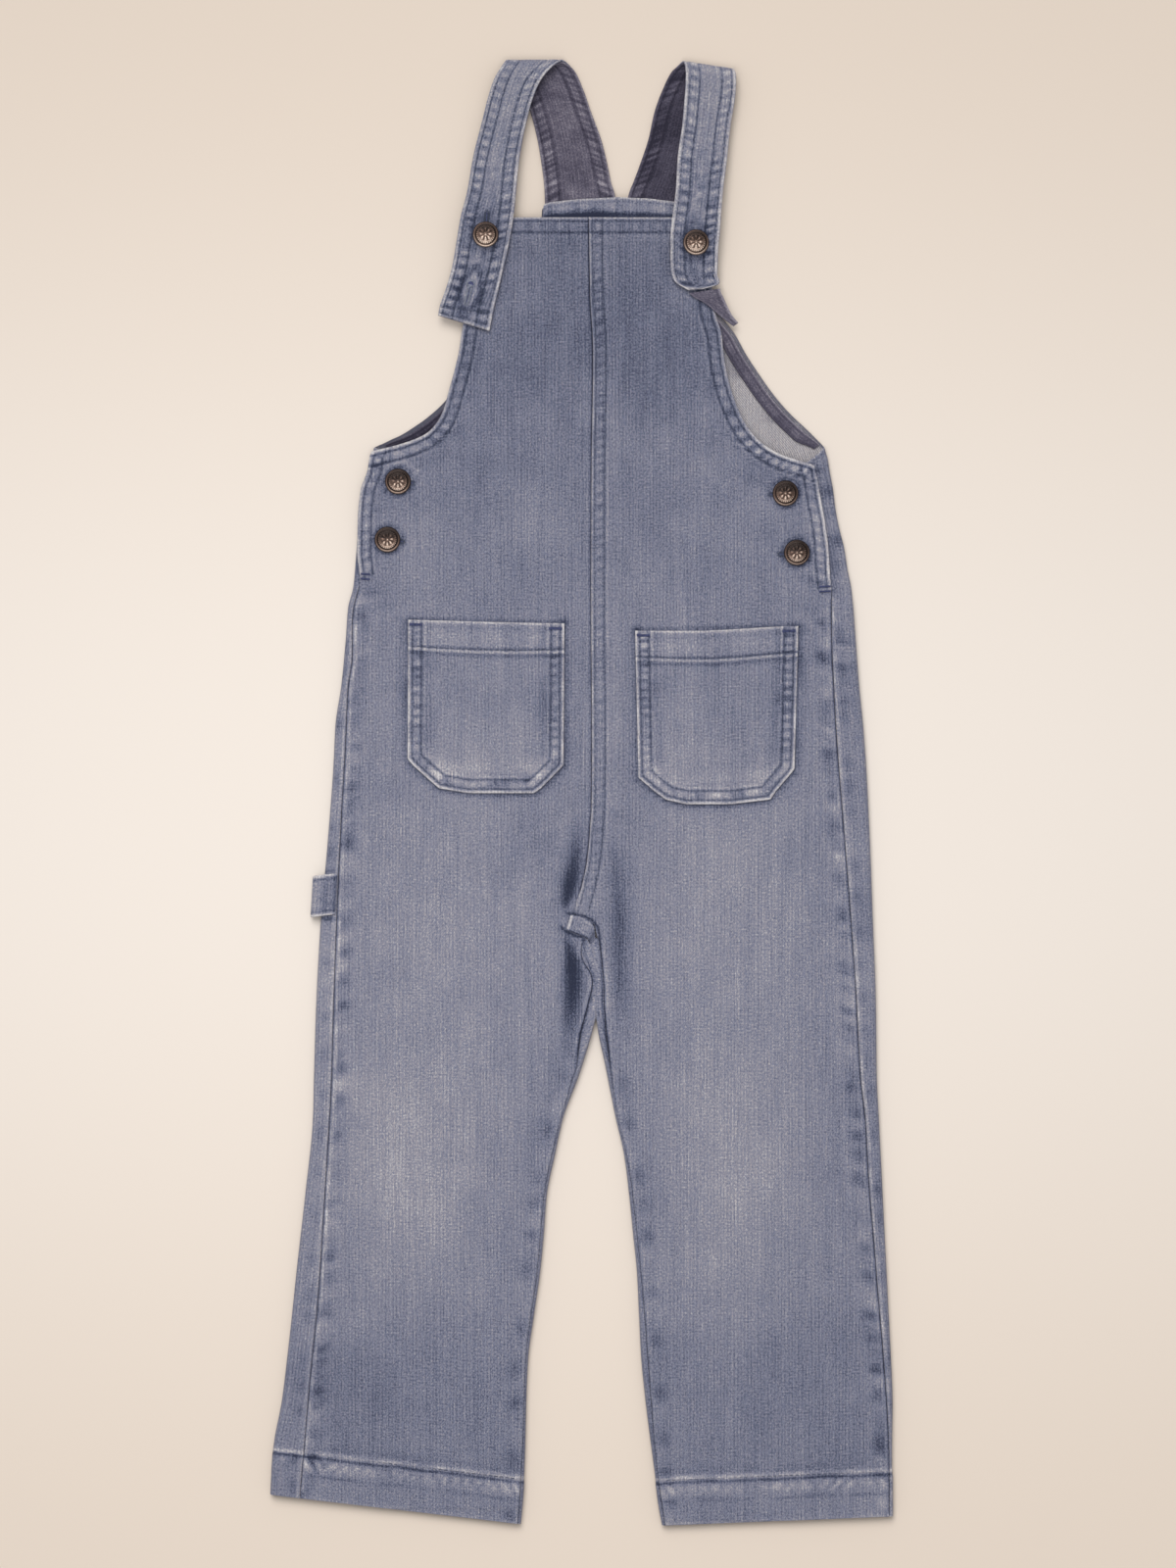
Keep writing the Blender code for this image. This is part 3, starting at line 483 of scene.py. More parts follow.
def stitchedBand(distance, along, seed, width=15.5, raiseBy=0.42, firstRow=4.5, pitch=10.5, pull=1.0):
    # height and tone of an edge that is turned in and stitched twice
    lastRow = width - 1
    inside = 1 - ease(distance, width - 0.8, width + 1.4)
    blots = ladder(along + distance * 0.35, seed, pitch) * pull
    blots = blots * bump(distance, (firstRow + lastRow) / 2, (width - firstRow) * 0.45)
    wearAndShade = 0.72 + 0.35 * cellNoise(along, 9, seed + 3)
    height = raiseBy * inside + 0.2 * blots
    height += profile([(-0.2, firstRow, 1.2), (-0.2, lastRow, 1.2)], distance)
    worn = [(frontLook["worn"], 0.9, 1.6), (0.1, firstRow - 2.0, 1.0), (0.1, width + 1.8, 1.4)]
    tone = profile(worn, distance) * wearAndShade
    tone += profile([(-0.27, firstRow, 1.4), (-0.3, width - 0.8, 1.5)], distance)
    tone += frontLook["blotTone"] * blots - 0.02 * inside
    # painted shadow just outside the band's raised edge
    tone -= 0.07 * bump(distance, width + 5.0, 3.0) * (0.6 + 0.6 * cellNoise(along, 14, seed + 2))
    return height, tone


def baseFade(x, y):
    tone = 0.5 + 0 * x
    for fx, fy, halfWidth, halfHeight, amount in fades:
        reach = ((x - fx) / halfWidth) ** 2 + ((y - fy) / halfHeight) ** 2
        tone += amount * np.exp(-reach * 0.9)
    tone -= 0.06 * (1 - ease(y, 330, 560)) + 0.05 * ease(y, 1300, 1420)
    onBib = 1 - ease(y, 480, 640)
    for pitch, seed, amount in ((62, 7, 0.03), (13, 6, 0.022), (30, 5, 0.028 + 0.022 * onBib)):
        tone += amount * cloudNoise(x, y, pitch, seed)
    return tone


def foldRelief(side, x, y):
    # creases, deep folds and wrinkles, with their painted shade and light, and the painted crotch shadows
    pulled = wrinkleTone(x, y, wrinklesAndShadows)
    height = pulled * 1.5
    tone = pulled + crotchShadows(x, y)
    for cx, cy, halfWidth, halfLength, lean, amount, shade in creases:
        if side.sign * (602 - cx) > 0:
            across = (x - cx - lean * (y - cy)) / halfWidth
            part = np.exp(-(across**2)) * (1 - ease(np.abs(y - cy) / halfLength, 0.45, 1))
            height += amount * part
            tone += shade * part
    for rows in (upperFold, lowerFold) if side is left else (rightFold,):
        depth, shade = deepFold(rows, x, y)
        height += depth
        tone += shade
    return height, tone


def edgeRelief(side, x, y):
    # stitched edges of the armhole and of the side opening
    corner, tack = side.corner, side.tack
    away, along = nearLine(side.lines["armhole"], x, y)
    armHeight, armTone = stitchedBand(away, along, side.seed + 2, pitch=11.5, pull=0.8)
    armTone += 0.07 * bump(away, 8, 6) * ease(y, corner - 60, corner - 20)
    armTone *= 1 + 0.5 * ease(y, corner - 40, corner - 14)
    onBib = y < corner + 30
    away, along = nearLine(side.lines["placket"], x, y)
    height, tone = stitchedBand(away, along, side.seed + 4, width=14.5, pitch=12.0, pull=0.9)
    tone += profile([(0.08, 8, 6), (frontLook["openingEdge"][side.word], 1.8, 1.6)], away)
    beside = (y > corner - 6) & (y < tack + 20)
    taken = beside * (1 - ease(y, tack - 10, tack + 4)) * ease(y, corner - 3, corner + 6)
    return armHeight * onBib + height * taken, armTone * onBib + tone * taken


def bibHem(side, x, y):
    seed, fromTop = side.seed, y - bibTop
    height = frontLook["bibHemRaise"] * (1 - ease(fromTop, 14.5, 17))
    height += profile([(-0.15, 3.5, 1.1), (-0.18, 15, 1.2)], fromTop)
    height += 0.1 * bump(fromTop, 9, 6) * cellNoise(x, 5, seed + 6)
    tone = profile([(0.36, 0.8, 1.5), (-0.2, 4, 1.2), (-0.27, 15.5, 1.4)], fromTop)
    tone += 0.14 * ladder(x, seed + 29, 12) * bump(fromTop, 9.5, 4)
    tone += 0.07 * bump(fromTop, 20, 4) * (0.6 + 0.6 * cellNoise(x, 16, seed + 31))
    return height, tone


def centreRelief(side, x, y):
    # felled centre seam, the right front lies on the left
    seed = side.seed
    away, along = nearLine(side.lines["centre"], x, y)
    above = 1 - ease(y, 924, 934)
    if side is left:
        # on the left front, a painted shadow line where the right front's band lies on it
        tone = 0.04 * bump(away, 4, 2.5) * (0.5 + 0.5 * cellNoise(along, 12, seed + 10))
        return -0.1 * bump(away, 0, 2) * above, (tone - 0.32 * bump(away, 0, 1.7)) * above
    blots = cellNoise(along, 5.5, seed + 8) * 0.6 + cellNoise(along, 13, seed + 9) * 0.4
    height = frontLook["fellRaise"] * (1 - ease(away, 13.2, 14.8)) + 0.1 * blots * bump(away, 8, 4)
    height += profile([(0.15, 1.2, 1.4), (-0.16, 3.4, 1.0), (-0.2, 13.6, 1.2)], away)
    wearAndShade = 0.75 + 0.4 * cellNoise(along, 8, seed + 25)
    tone = profile([(0.3, 0.9, 1.3), (0.12, 16.5, 2.2)], away) * wearAndShade
    tone += profile([(-0.14, 3.4, 1.2), (-0.2, 13.4, 1.3), (0.05, 24, 7), (0.03, 8, 5)], away)
    tone += 0.16 * ladder(along + 0.3 * away, seed + 8, 10) * bump(away, 8.6, 4)
    return height * above, tone * above


def sideSeam(side, x, y):
    seed = side.seed
    away, along = nearLine(side.lines["side"], x, y)
    below = ease(y, side.tack + 2, side.tack + 14)
    blots = puckers(along, seed + 12, 34, 8)
    height = 0.25 * bump(away, 3.5, 3) - frontLook["pucker"] * blots * bump(away, 10, 6)
    height += 0.2 * cellNoise(along, 17, seed + 13) * bump(away, 10, 8)
    wearAndShade = 0.65 + 0.45 * cellNoise(along, 9, seed + 14)
    tone = frontLook["ridge"][side.word] * bump(away, 2.8, 2.0) * wearAndShade - 0.4 * bump(away, 0, 1.5)
    tone += 0.08 * np.clip(2 * cellNoise(along + 0.4 * away, 8, seed + 26), -1, 1) * bump(away, 9, 8)
    tone -= 1.25 * frontLook["puckerTone"] * blots * bump(away, 9.5, 7)
    tone += 0.15 * puckers(along + 17, seed + 22, 34, 7) * bump(away, 8, 5)
    tone += 0.05 * bump(away, 20, 7) * (0.5 + 0.5 * cellNoise(along, 22, seed + 15))
    return height * below, tone * below


def innerSeam(side, x, y):
    seed = side.seed
    away, along = nearLine(side.lines["inside"], x, y)
    below = ease(y, crotchRow + 1, crotchRow + 18)
    low = ease(y, 1060, 1110)
    blots = puckers(along, seed + 16, 40, 8) * low
    height = 0.2 * bump(away, 4, 3.5) - 0.28 * blots * bump(away, 9, 5.5)
    wearAndShade = 0.7 + 0.4 * cellNoise(along, 8, seed + 17)
    tone = (0.24 * bump(away, 2.6, 1.9) * wearAndShade - 0.36 * bump(away, 0, 1.5)) * (1 - 0.6 * low)
    tone -= 1.2 * frontLook["puckerTone"] * blots * bump(away, 9.5, 7)
    tone += 0.1 * puckers(along + 19, seed + 23, 40, 8) * bump(away, 7, 5) * low
    return height * below, tone * below


def legHem(side, x, y):
    # a raised hem, roped above and below its row of stitches
    seed, depth = side.seed, frontLook["hemDepth"]
    fromHem = side.hemRow - y - depth + 0.6 * cellNoise(x, 24, seed + 30)
    wave = x + 0.7 * fromHem
    rope = np.tanh(1.4 * cellNoise(wave, 6.5, seed + 18) + 1.2 * cellNoise(wave, 13, seed + 19))
    wearAndShade = 0.7 + 0.4 * cellNoise(x, 11, seed + 24)
    band = 1 - ease(fromHem, -1.5, 0.8)
    height = frontLook["hemRaise"] * band + profile([(0.3, 2.6, 2.4), (-0.35, -1.4, 1.4)], fromHem)
    height += rope * (0.2 * bump(fromHem, -9, 8) * band + 0.12 * bump(fromHem, 4, 4))
    tone = 0.36 * bump(fromHem, 2.9, 2.9) * wearAndShade - 0.42 * bump(fromHem, -1.4, 1.7) * (1.2 - 0.5 * wearAndShade)
    rungs = 0.2 * ladder(x + 0.6 * fromHem, seed + 27, 12) + 0.08 * rope + 0.12
    tone += (rungs * bump(fromHem, -9, 5.5) + 0.035) * band
    tone -= 0.16 * bump(fromHem, -20, 1.8) * band * (0.6 + 0.6 * cellNoise(x, 20, seed + 28))
    tone -= 0.1 * bump(fromHem, 9, 5) * (0.5 + 0.5 * cellNoise(x, 14, seed + 20))
    tone += 0.14 * bump(fromHem, 1.2 - depth, 2.0) * wearAndShade
    if side is left:
        # the turned-in seam shows at the outer corner
        tone += profile([(0.14, 303.5, 2.2), (-0.2, 307.5, 1.8)], x) * band
        tone -= 0.14 * bump(x, 290, 6) * bump(fromHem, -22, 9)
    return height, tone


def shadeRound(side, x, y):
    # painted shadow round the side buttons and along the pockets' outline and top edge, unevenly strong; a
    # paler arc above the upper left side button
    tone = 0.18 * bump(np.hypot(x - 409, y - 489), 17.5, 2.2) * (1 - ease(y, 484, 494))
    for name, (bx, by) in buttonPlace.items():
        if "side" in name:
            tone -= 0.3 * bump(np.hypot(x - bx, y - by), 14.2, 2.4)
    away, along = nearLine(pocketOutline(side.pocket), x, y)
    wearAndShade = 0.6 + 0.5 * cellNoise(along, 12, side.seed + 21)
    tone -= 0.26 * bump(away, 1.6, 2.2) + 0.07 * bump(away, 5, 5) * wearAndShade
    top, *ends = side.pocket[0]
    ends = np.array(ends, float)
    topEdge = np.stack([ends, top + pocketSag(side, ends, top)], axis=1)
    tone -= 0.2 * bump(awayFrom(topEdge, x, y), 1.2, 1.8)
    return 0, tone


def frontRelief(side, x, y):
    # height above the plain panel in mm, and tone, at points of a front
    height = 0.2 * cloudNoise(x, y, 70, side.seed) + 0.12 * cloudNoise(x, y * 0.7, 27, side.seed + 1)
    tone = baseFade(x, y)
    for layer in (foldRelief, edgeRelief, bibHem, centreRelief, sideSeam, innerSeam, legHem, shadeRound):
        rise, shade = layer(side, x, y)
        height += rise
        tone += shade
    return height, tone


def pocketOutline(rows):
    rows = np.array(rows, float)
    return np.concatenate([rows[:, [1, 0]], rows[::-1, [2, 0]]])


def pocketSag(side, x, y):
    # the top edge runs a little askew and the hem sags between the tacks
    top, low, high = side.pocket[0]
    across = np.clip((x - low) / (high - low), 0, 1)
    tilt = 4 * across - 2.6 if side is left else 1.6 - 4.6 * ease(across, 0.35, 1)
    sag = 2.4 * np.sin(math.pi * across) * bump(y - top, 30, 18)
    return tilt * (1 - ease(y, top + 20, top + 90)) + sag


def frontTop(side, x, y):
    outer = side.sign * (x - follow(side.fold, y)) * gridStep
    inner = side.sign * (side.innerLine(y) - x) * gridStep
    top = follow(frontHeight, y) - foldDrop(outer, tubeHeight, 1.0) * (1 - side.lap(y))
    return top - foldDrop(inner, tubeHeight, squareness(y)) * (y > crotchRow)


# Materials


def nodeTree(name):
    material = bpy.data.materials.new(name)
    material.use_nodes = True
    tree = material.node_tree
    tree.nodes.clear()
    output = tree.nodes.new("ShaderNodeOutputMaterial")
    shader = tree.nodes.new("ShaderNodeBsdfPrincipled")
    tree.links.new(shader.outputs["BSDF"], output.inputs["Surface"])
    return material, tree, shader


def mathNode(tree, operation, *values):
    node = tree.nodes.new("ShaderNodeMath")
    node.operation = operation
    for socket, value in zip(node.inputs, values):
        if isinstance(value, (int, float)):
            socket.default_value = value
        else:
            tree.links.new(value, socket)
    return node.outputs[0]


def noiseNode(tree, place, stretch, detail=2.0, rough=0.55):
    # noise over the cloth's own place in mm, stretched per axis
    mapping = tree.nodes.new("ShaderNodeMapping")
    mapping.inputs["Scale"].default_value = stretch
    tree.links.new(place, mapping.inputs["Vector"])
    noise = tree.nodes.new("ShaderNodeTexNoise")
    noise.inputs["Scale"].default_value = 1.0
    noise.inputs["Detail"].default_value = detail
    noise.inputs["Roughness"].default_value = rough
    tree.links.new(mapping.outputs["Vector"], noise.inputs["Vector"])
    return noise.outputs[0]


def centred(tree, value, amount):
    return mathNode(tree, "MULTIPLY", mathNode(tree, "SUBTRACT", value, 0.5), amount)


def attribute(tree, name, output):
    node = tree.nodes.new("ShaderNodeAttribute")
    node.attribute_name = name
    return node.outputs[output]


def splitPlace(tree, place):
    split = tree.nodes.new("ShaderNodeSeparateXYZ")
    tree.links.new(place, split.inputs[0])
    return split.outputs


def colourRamp(tree, value, stops, interpolation="LINEAR"):
    ramp = tree.nodes.new("ShaderNodeValToRGB")
    ramp.color_ramp.interpolation = interpolation
    while len(ramp.color_ramp.elements) < len(stops):
        ramp.color_ramp.elements.new(0.5)
    for element, (position, colour) in zip(ramp.color_ramp.elements, stops):
        element.position = position
        element.color = colour
    tree.links.new(value, ramp.inputs[0])
    return ramp.outputs[0]


def multiplied(tree, first, second):
    node = tree.nodes.new("ShaderNodeMix")
    node.data_type = "RGBA"
    node.blend_type = "MULTIPLY"
    node.inputs["Factor"].default_value = 1.0
    tree.links.new(first, node.inputs["A"])
    if isinstance(second, tuple):
        node.inputs["B"].default_value = second
    else:
        tree.links.new(second, node.inputs["B"])
    return node.outputs["Result"]


def addBump(tree, shader, height, strength, distance):
    node = tree.nodes.new("ShaderNodeBump")
    node.inputs["Strength"].default_value = strength
    node.inputs["Distance"].default_value = distance
    tree.links.new(height, node.inputs["Height"])
    tree.links.new(node.outputs[0], shader.inputs["Normal"])


def finishShader(tree, shader, colour, values):
    tree.links.new(colour, shader.inputs["Base Color"])
    for name, value in values.items():
        shader.inputs[name].default_value = value


denimLook = {
    "stops": [
        (0.0, srgb(43, 48, 68)),
        (0.25, srgb(85, 90, 112)),
        (0.5, srgb(125, 128, 148)),
        (0.7, srgb(147, 145, 156)),
        (0.86, srgb(177, 173, 179)),
        (1.0, srgb(210, 206, 207)),
    ],
    "slub": 0.8,
    "speckle": 1.12,
    "streak": 0.24,
    "twill": 0.16,
    "mottle": 0.17,
    "ribs": 0.05,
    "warmth": 0.9,
    "bump": 0.5,
    "shader": {"Roughness": 0.88, "Specular IOR Level": 0.2, "Sheen Weight": 0.1, "Sheen Roughness": 0.5},
}
insideLook = dict(
    denimLook,
    stops=[
        (0.0, srgb(84, 84, 98)),
        (0.35, srgb(128, 126, 137)),
        (0.6, srgb(168, 163, 168)),
        (1.0, srgb(214, 208, 206)),
    ],
    slub=0.3,
    streak=0.1,
    twill=0.75,
    speckle=0.6,
)
liningLook = dict(
    denimLook,
    stops=[
        (0.0, srgb(44, 41, 56)),
        (0.4, srgb(80, 76, 92)),
        (0.6, srgb(103, 98, 113)),
        (1.0, srgb(160, 154, 164)),
    ],
    slub=0.4,
    streak=0.1,
    twill=0.0,
    speckle=0.9,
    warmth=0.5,
)


def clothMaterial(name, settings):
    material, tree, shader = nodeTree(name)
    place = attribute(tree, "clothPlace", "Vector")
    x, y, _ = splitPlace(tree, place)
    # each warp thread starts its slubs at its own height
    thread = tree.nodes.new("ShaderNodeTexNoise")
    thread.noise_dimensions = "1D"
    thread.inputs["Scale"].default_value = 1.0
    tree.links.new(mathNode(tree, "MULTIPLY", x, 1.3), thread.inputs["W"])
    shifted = tree.nodes.new("ShaderNodeCombineXYZ")
    tree.links.new(x, shifted.inputs[0])
    tree.links.new(mathNode(tree, "MULTIPLY_ADD", thread.outputs[0], 90.0, y), shifted.inputs[1])
    threads = shifted.outputs[0]
    slub = noiseNode(tree, threads, (1.15, 0.22, 1), 2, 0.6)
    crossSlub = noiseNode(tree, place, (0.17, 1.1, 1), 2, 0.5)
    speckle = noiseNode(tree, place, (1.15, 0.95, 1), 1, 0.8)
    mottle = noiseNode(tree, threads, (0.2, 0.016, 1), 2, 0.5)
    streak = noiseNode(tree, threads, (0.8, 0.018, 1), 2, 0.6)
    warm = noiseNode(tree, threads, (0.95, 0.6, 1), 2, 0.7)
    ribPhase = mathNode(tree, "MULTIPLY_ADD", x, 3.25, mathNode(tree, "MULTIPLY", mottle, 9.0))
    ribs = mathNode(tree, "SINE", ribPhase)
    # diagonal twill lines, broken up by noise
    diagonal = mathNode(tree, "ADD", x, mathNode(tree, "MULTIPLY", y, -0.62))
    broken = mathNode(tree, "MULTIPLY", speckle, 5.0)
    wavy = mathNode(tree, "ADD", mathNode(tree, "MULTIPLY", diagonal, 6.4), broken)
    twill = mathNode(tree, "MULTIPLY_ADD", mathNode(tree, "SINE", wavy), 0.5, 0.5)
    value = attribute(tree, "tone", "Fac")
    for noise, amount in (
        (slub, settings["slub"]), (crossSlub, settings["slub"] * 0.35), (speckle, settings["speckle"]),
        (streak, settings["streak"]), (mottle, settings["mottle"]), (twill, settings["twill"]),
    ):
        value = mathNode(tree, "ADD", value, centred(tree, noise, amount))
    value = mathNode(tree, "ADD", value, mathNode(tree, "MULTIPLY", ribs, settings["ribs"]))
    colour = colourRamp(tree, value, settings["stops"])
    # threads lean to beige or to blue
    far = settings["warmth"]
    blue = (1 - 0.24 * far, 1 - 0.1 * far, 1.0, 1)
    beige = (1.0, 1 - 0.09 * far, 1 - 0.24 * far, 1)
    tint = colourRamp(tree, warm, [(0.25, blue), (0.75, beige)])
    lifted = multiplied(tree, colour, (1 + 0.13 * far, 1 + 0.1 * far, 1 + 0.13 * far, 1))
    finishShader(tree, shader, multiplied(tree, lifted, tint), settings["shader"])
    weave = mathNode(tree, "MULTIPLY_ADD", twill, 0.6, mathNode(tree, "MULTIPLY", slub, 0.8))
    addBump(tree, shader, mathNode(tree, "ADD", weave, speckle), settings["bump"], 0.00025)
    return material


def threadMaterial(name, colour):
    material, tree, shader = nodeTree(name)
    grain = noiseNode(tree, attribute(tree, "clothPlace", "Vector"), (1.2, 1.2, 1), 2, 0.6)
    dark = tuple(c * 0.6 for c in colour[:3]) + (1,)
    pale = tuple(min(1, c * 1.7) for c in colour[:3]) + (1,)
    tones = colourRamp(tree, grain, [(0.3, dark), (0.75, pale)])
    finishShader(tree, shader, tones, {"Roughness": 0.75, "Specular IOR Level": 0.3})
    return material


metalLook = {
    "stops": [(0.1, srgb(36, 27, 24)), (0.5, srgb(104, 83, 73)), (0.95, srgb(214, 192, 176))],
    "grain": 0.5,
    "shader": {"Metallic": 0.75, "Roughness": 0.32},
}


def metalMaterial(name):
    # dark brown patina in the low places, worn copper on the high ones
    material, tree, shader = nodeTree(name)
    grain = noiseNode(tree, attribute(tree, "clothPlace", "Vector"), (1.6, 1.6, 1.6), 3, 0.7)
    value = mathNode(tree, "ADD", attribute(tree, "tone", "Fac"), centred(tree, grain, metalLook["grain"]))
    finishShader(tree, shader, colourRamp(tree, value, metalLook["stops"]), metalLook["shader"])
    addBump(tree, shader, grain, 0.25, 0.0001)
    return material


denim = clothMaterial("faded denim", denimLook)
denimInside = clothMaterial("denim wrong side", insideLook)
chambray = clothMaterial("chambray lining", liningLook)
blueThread = threadMaterial("blue thread", srgb(68, 74, 92))
paleThread = threadMaterial("pale thread", srgb(128, 132, 146))
indigoThreadAndSlitShade = threadMaterial("indigo thread and slit shade", srgb(66, 71, 104))
copper = metalMaterial("antique copper")
print("materials made")

# Mesh tools


def toMetres(points):
    points = np.asarray(points, float)
    x = (points[..., 0] - gridMiddle[0]) * gridStep / 1000
    y = (gridMiddle[1] - points[..., 1]) * gridStep / 1000
    return np.stack([x, y, points[..., 2] / 1000], axis=-1)


def makePiece(name, points, faces, tone, place, materials, faceSlots=None):
    # faces is a list of arrays of quads or triangles
    name += "_metal" if materials[0] == copper else "_thread" if "thread" in materials[0].name else "_cloth"
    mesh = bpy.data.meshes.new(name)
    real = toMetres(points)
    mesh.vertices.add(len(real))
    mesh.vertices.foreach_set("co", real.astype(np.float32).ravel())
    loops = np.concatenate([np.asarray(f).ravel() for f in faces])
    sizes = np.concatenate([np.full(len(f), np.asarray(f).shape[1]) for f in faces])
    mesh.loops.add(len(loops))
    mesh.loops.foreach_set("vertex_index", loops.astype(np.int32))
    mesh.polygons.add(len(sizes))
    starts = np.concatenate([[0], np.cumsum(sizes)[:-1]])
    mesh.polygons.foreach_set("loop_start", starts.astype(np.int32))
    mesh.polygons.foreach_set("use_smooth", np.ones(len(sizes), bool))
    if faceSlots is not None:
        mesh.polygons.foreach_set("material_index", np.asarray(faceSlots, np.int32))
    mesh.update(calc_edges=True)
    mesh.validate()
    shade = mesh.attributes.new("tone", "FLOAT", "POINT")
    shade.data.foreach_set("value", np.asarray(tone, np.float32).ravel())
    spot = mesh.attributes.new("clothPlace", "FLOAT_VECTOR", "POINT")
    spot.data.foreach_set("vector", np.asarray(place, np.float32).ravel())
    for material in materials:
        mesh.materials.append(material)
    piece = bpy.data.objects.new(name, mesh)
    bpy.context.collection.objects.link(piece)
    return piece


def gridFaces(rows, columns, start=0, flip=False):
    index = np.arange(rows * columns).reshape(rows, columns) + start
    corners = [index[:-1, :-1], index[:-1, 1:], index[1:, 1:], index[1:, :-1]]
    quads = np.stack(corners, axis=-1).reshape(-1, 4)
    return quads[:, ::-1] if flip else quads


def shellFaces(rows, columns):
    # the face of the cloth, its wrong side and the rim between them
    count = rows * columns
    index = np.arange(count).reshape(rows, columns)
    ring = np.concatenate([index[0, :-1], index[:-1, -1], index[-1, :0:-1], index[:0:-1, 0]])
    rim = np.stack([ring, ring + count, np.roll(ring, -1) + count, np.roll(ring, -1)], axis=1)
    return [gridFaces(rows, columns), gridFaces(rows, columns, count, True), rim]


def shellPiece(name, face, back, faces, tone, backTone, place, materials):
    points = np.concatenate([face.reshape(-1, 3), back.reshape(-1, 3)])
    tones = np.concatenate([np.ravel(tone), np.ravel(backTone)])
    places = np.concatenate([place.reshape(-1, 3)] * 2)
    slots = np.repeat([0, len(materials) - 1, 0], [len(part) for part in faces])
    return makePiece(name, points, faces, tones, places, materials, slots)


def unit(vectors):
    return vectors / (np.linalg.norm(vectors, axis=-1, keepdims=True) + 1e-12)


def gridNormals(grid, up=None):
    real = grid * (gridStep, gridStep, 1)
    normal = unit(np.cross(np.gradient(real, axis=0), np.gradient(real, axis=1)))
    if up is not None and (normal[..., 2].sum() > 0) != up:
        normal = -normal
    return normal


def faceUp(normal, row, column):
    return -normal if normal[row, column, 2] < 0 else normal


def shift(points, direction, distance):
    far = np.asarray(distance, float)[..., None] if np.ndim(distance) else distance
    return points + direction * far * (perMm, perMm, 1)


def clothPlace(across, along):
    # where each point is on the flat cloth in mm, for the weave
    return np.stack([across * gridStep, along * gridStep, 0 * across], axis=2)


def cushionEdges(distance, thick):
    # how far the face of cloth drops towards an edge, in mm; distance in grid steps
    r = thick * 0.5
    part = np.clip(1 - distance * gridStep / r, 0, 1)
    return r * (1 - np.sqrt(1 - part**2))


def clothPiece(name, grid, edge, tone, place, materials, thick=1.1, normal=None):
    # closed shell of cloth with rounded edges; edge is the distance to the cut in grid steps
    normal = gridNormals(grid, True) if normal is None else normal
    roundOff = cushionEdges(edge, thick * 0.9)
    face = shift(grid, normal, -roundOff)
    back = shift(grid, -normal, thick - roundOff)
    faces = shellFaces(*grid.shape[:2])
    # y grows downwards on the grid, so faces are turned to look outwards
    a, b, c = (face.reshape(-1, 3)[faces[0][:, k]] * (gridStep, -gridStep, 1) for k in (0, 1, 2))
    if (np.cross(b - a, c - a) * normal.reshape(-1, 3)[faces[0][:, 0]] * (1, -1, 1)).sum() < 0:
        faces = [part[:, ::-1] for part in faces]
    wrongTone = np.full(edge.size, 0.5)
    return shellPiece(name, face, back, faces, tone, wrongTone, place, materials)


def spacing(width, edgeZone, fine, coarse):
    # places across a width: fine near both ends, coarse between
    zone = min(edgeZone, width * 0.4)
    ends = np.concatenate([[0, 0.35, 0.8], np.arange(1.4, zone, fine)])
    middle = np.linspace(zone, width - zone, max(3, int((width - 2 * zone) / coarse)))
    return np.concatenate([ends, middle, (width - ends)[::-1]])


def uneven(stretches):
    # rows from (start, end, pitch) stretches
    parts = [np.arange(a, b, pitch) for a, b, pitch in stretches]
    return np.concatenate(parts + [[stretches[-1][1]]])


def dress(piece, node):
    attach(piece, "root")
    if node:
        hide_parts(node)


# Fronts

frontMesh = {"width": 230.0, "edgeZone": 21.0, "fine": 1.1, "coarse": 5.6}


def frontGrid(side):
    hem = side.hemRow
    y = uneven([
        (bibTop, 223.2, 0.4), (223.2, 242, 0.9), (242, 434, 2.6), (434, 480, 1.2), (480, 930, 2.7),
        (930, 1045, 1.4), (1045, hem - 54, 2.7), (hem - 54, hem - 36, 0.8), (hem - 36, hem - 2, 2.4),
        (hem - 2, hem, 0.5),
    ])
    full, zone = frontMesh["width"], frontMesh["edgeZone"]
    columns = spacing(full, zone, frontMesh["fine"], frontMesh["coarse"])
    start, end = follow(side.edge, y), follow(side.inner, y)
    x = []
    for first, width in zip(start, np.abs(end - start)):
        near = min(zone, width * 0.4)
        places = np.interp(columns, (0, zone, full - zone, full), (0, near, width - near, width))
        x.append(first + side.sign * places)
    x = np.array(x)
    return x, np.repeat(y[:, None], x.shape[1], axis=1)


def nearestEdge(side, x, y):
    # distance in grid steps to the panel's outline
    best = np.minimum(y - bibTop, side.hemRow - y)
    for line in side.lines.values():
        best = np.minimum(best, awayFrom(line, x, y))
    return np.maximum(best, 0)


def buildFront(side):
    name = "front_" + side.word
    x, y = frontGrid(side)
    height, tone = frontRelief(side, x, y)
    lower = y + side.lean(x, y)
    grid = np.stack([x, lower, frontTop(side, x, y) + height], axis=2)
    edge = nearestEdge(side, x, lower)
    piece = clothPiece(name, grid, edge, tone, clothPlace(x, y), [denim, denimInside])
    dress(piece, name)


buildFront(left)
buildFront(right)
print("fronts made")

# Backs

backLook = {
    "wall": 1.2,
    "thick": 1.1,  # for the rounding of the edges
    "underSeam": 0.08,  # how far the cloth goes under a seam on top, in mm
    "tone": {"left": 0.04, "right": 0.0},
    "ridge": {"left": 0.16, "right": 0.32},
    "inside": 0.56,
}


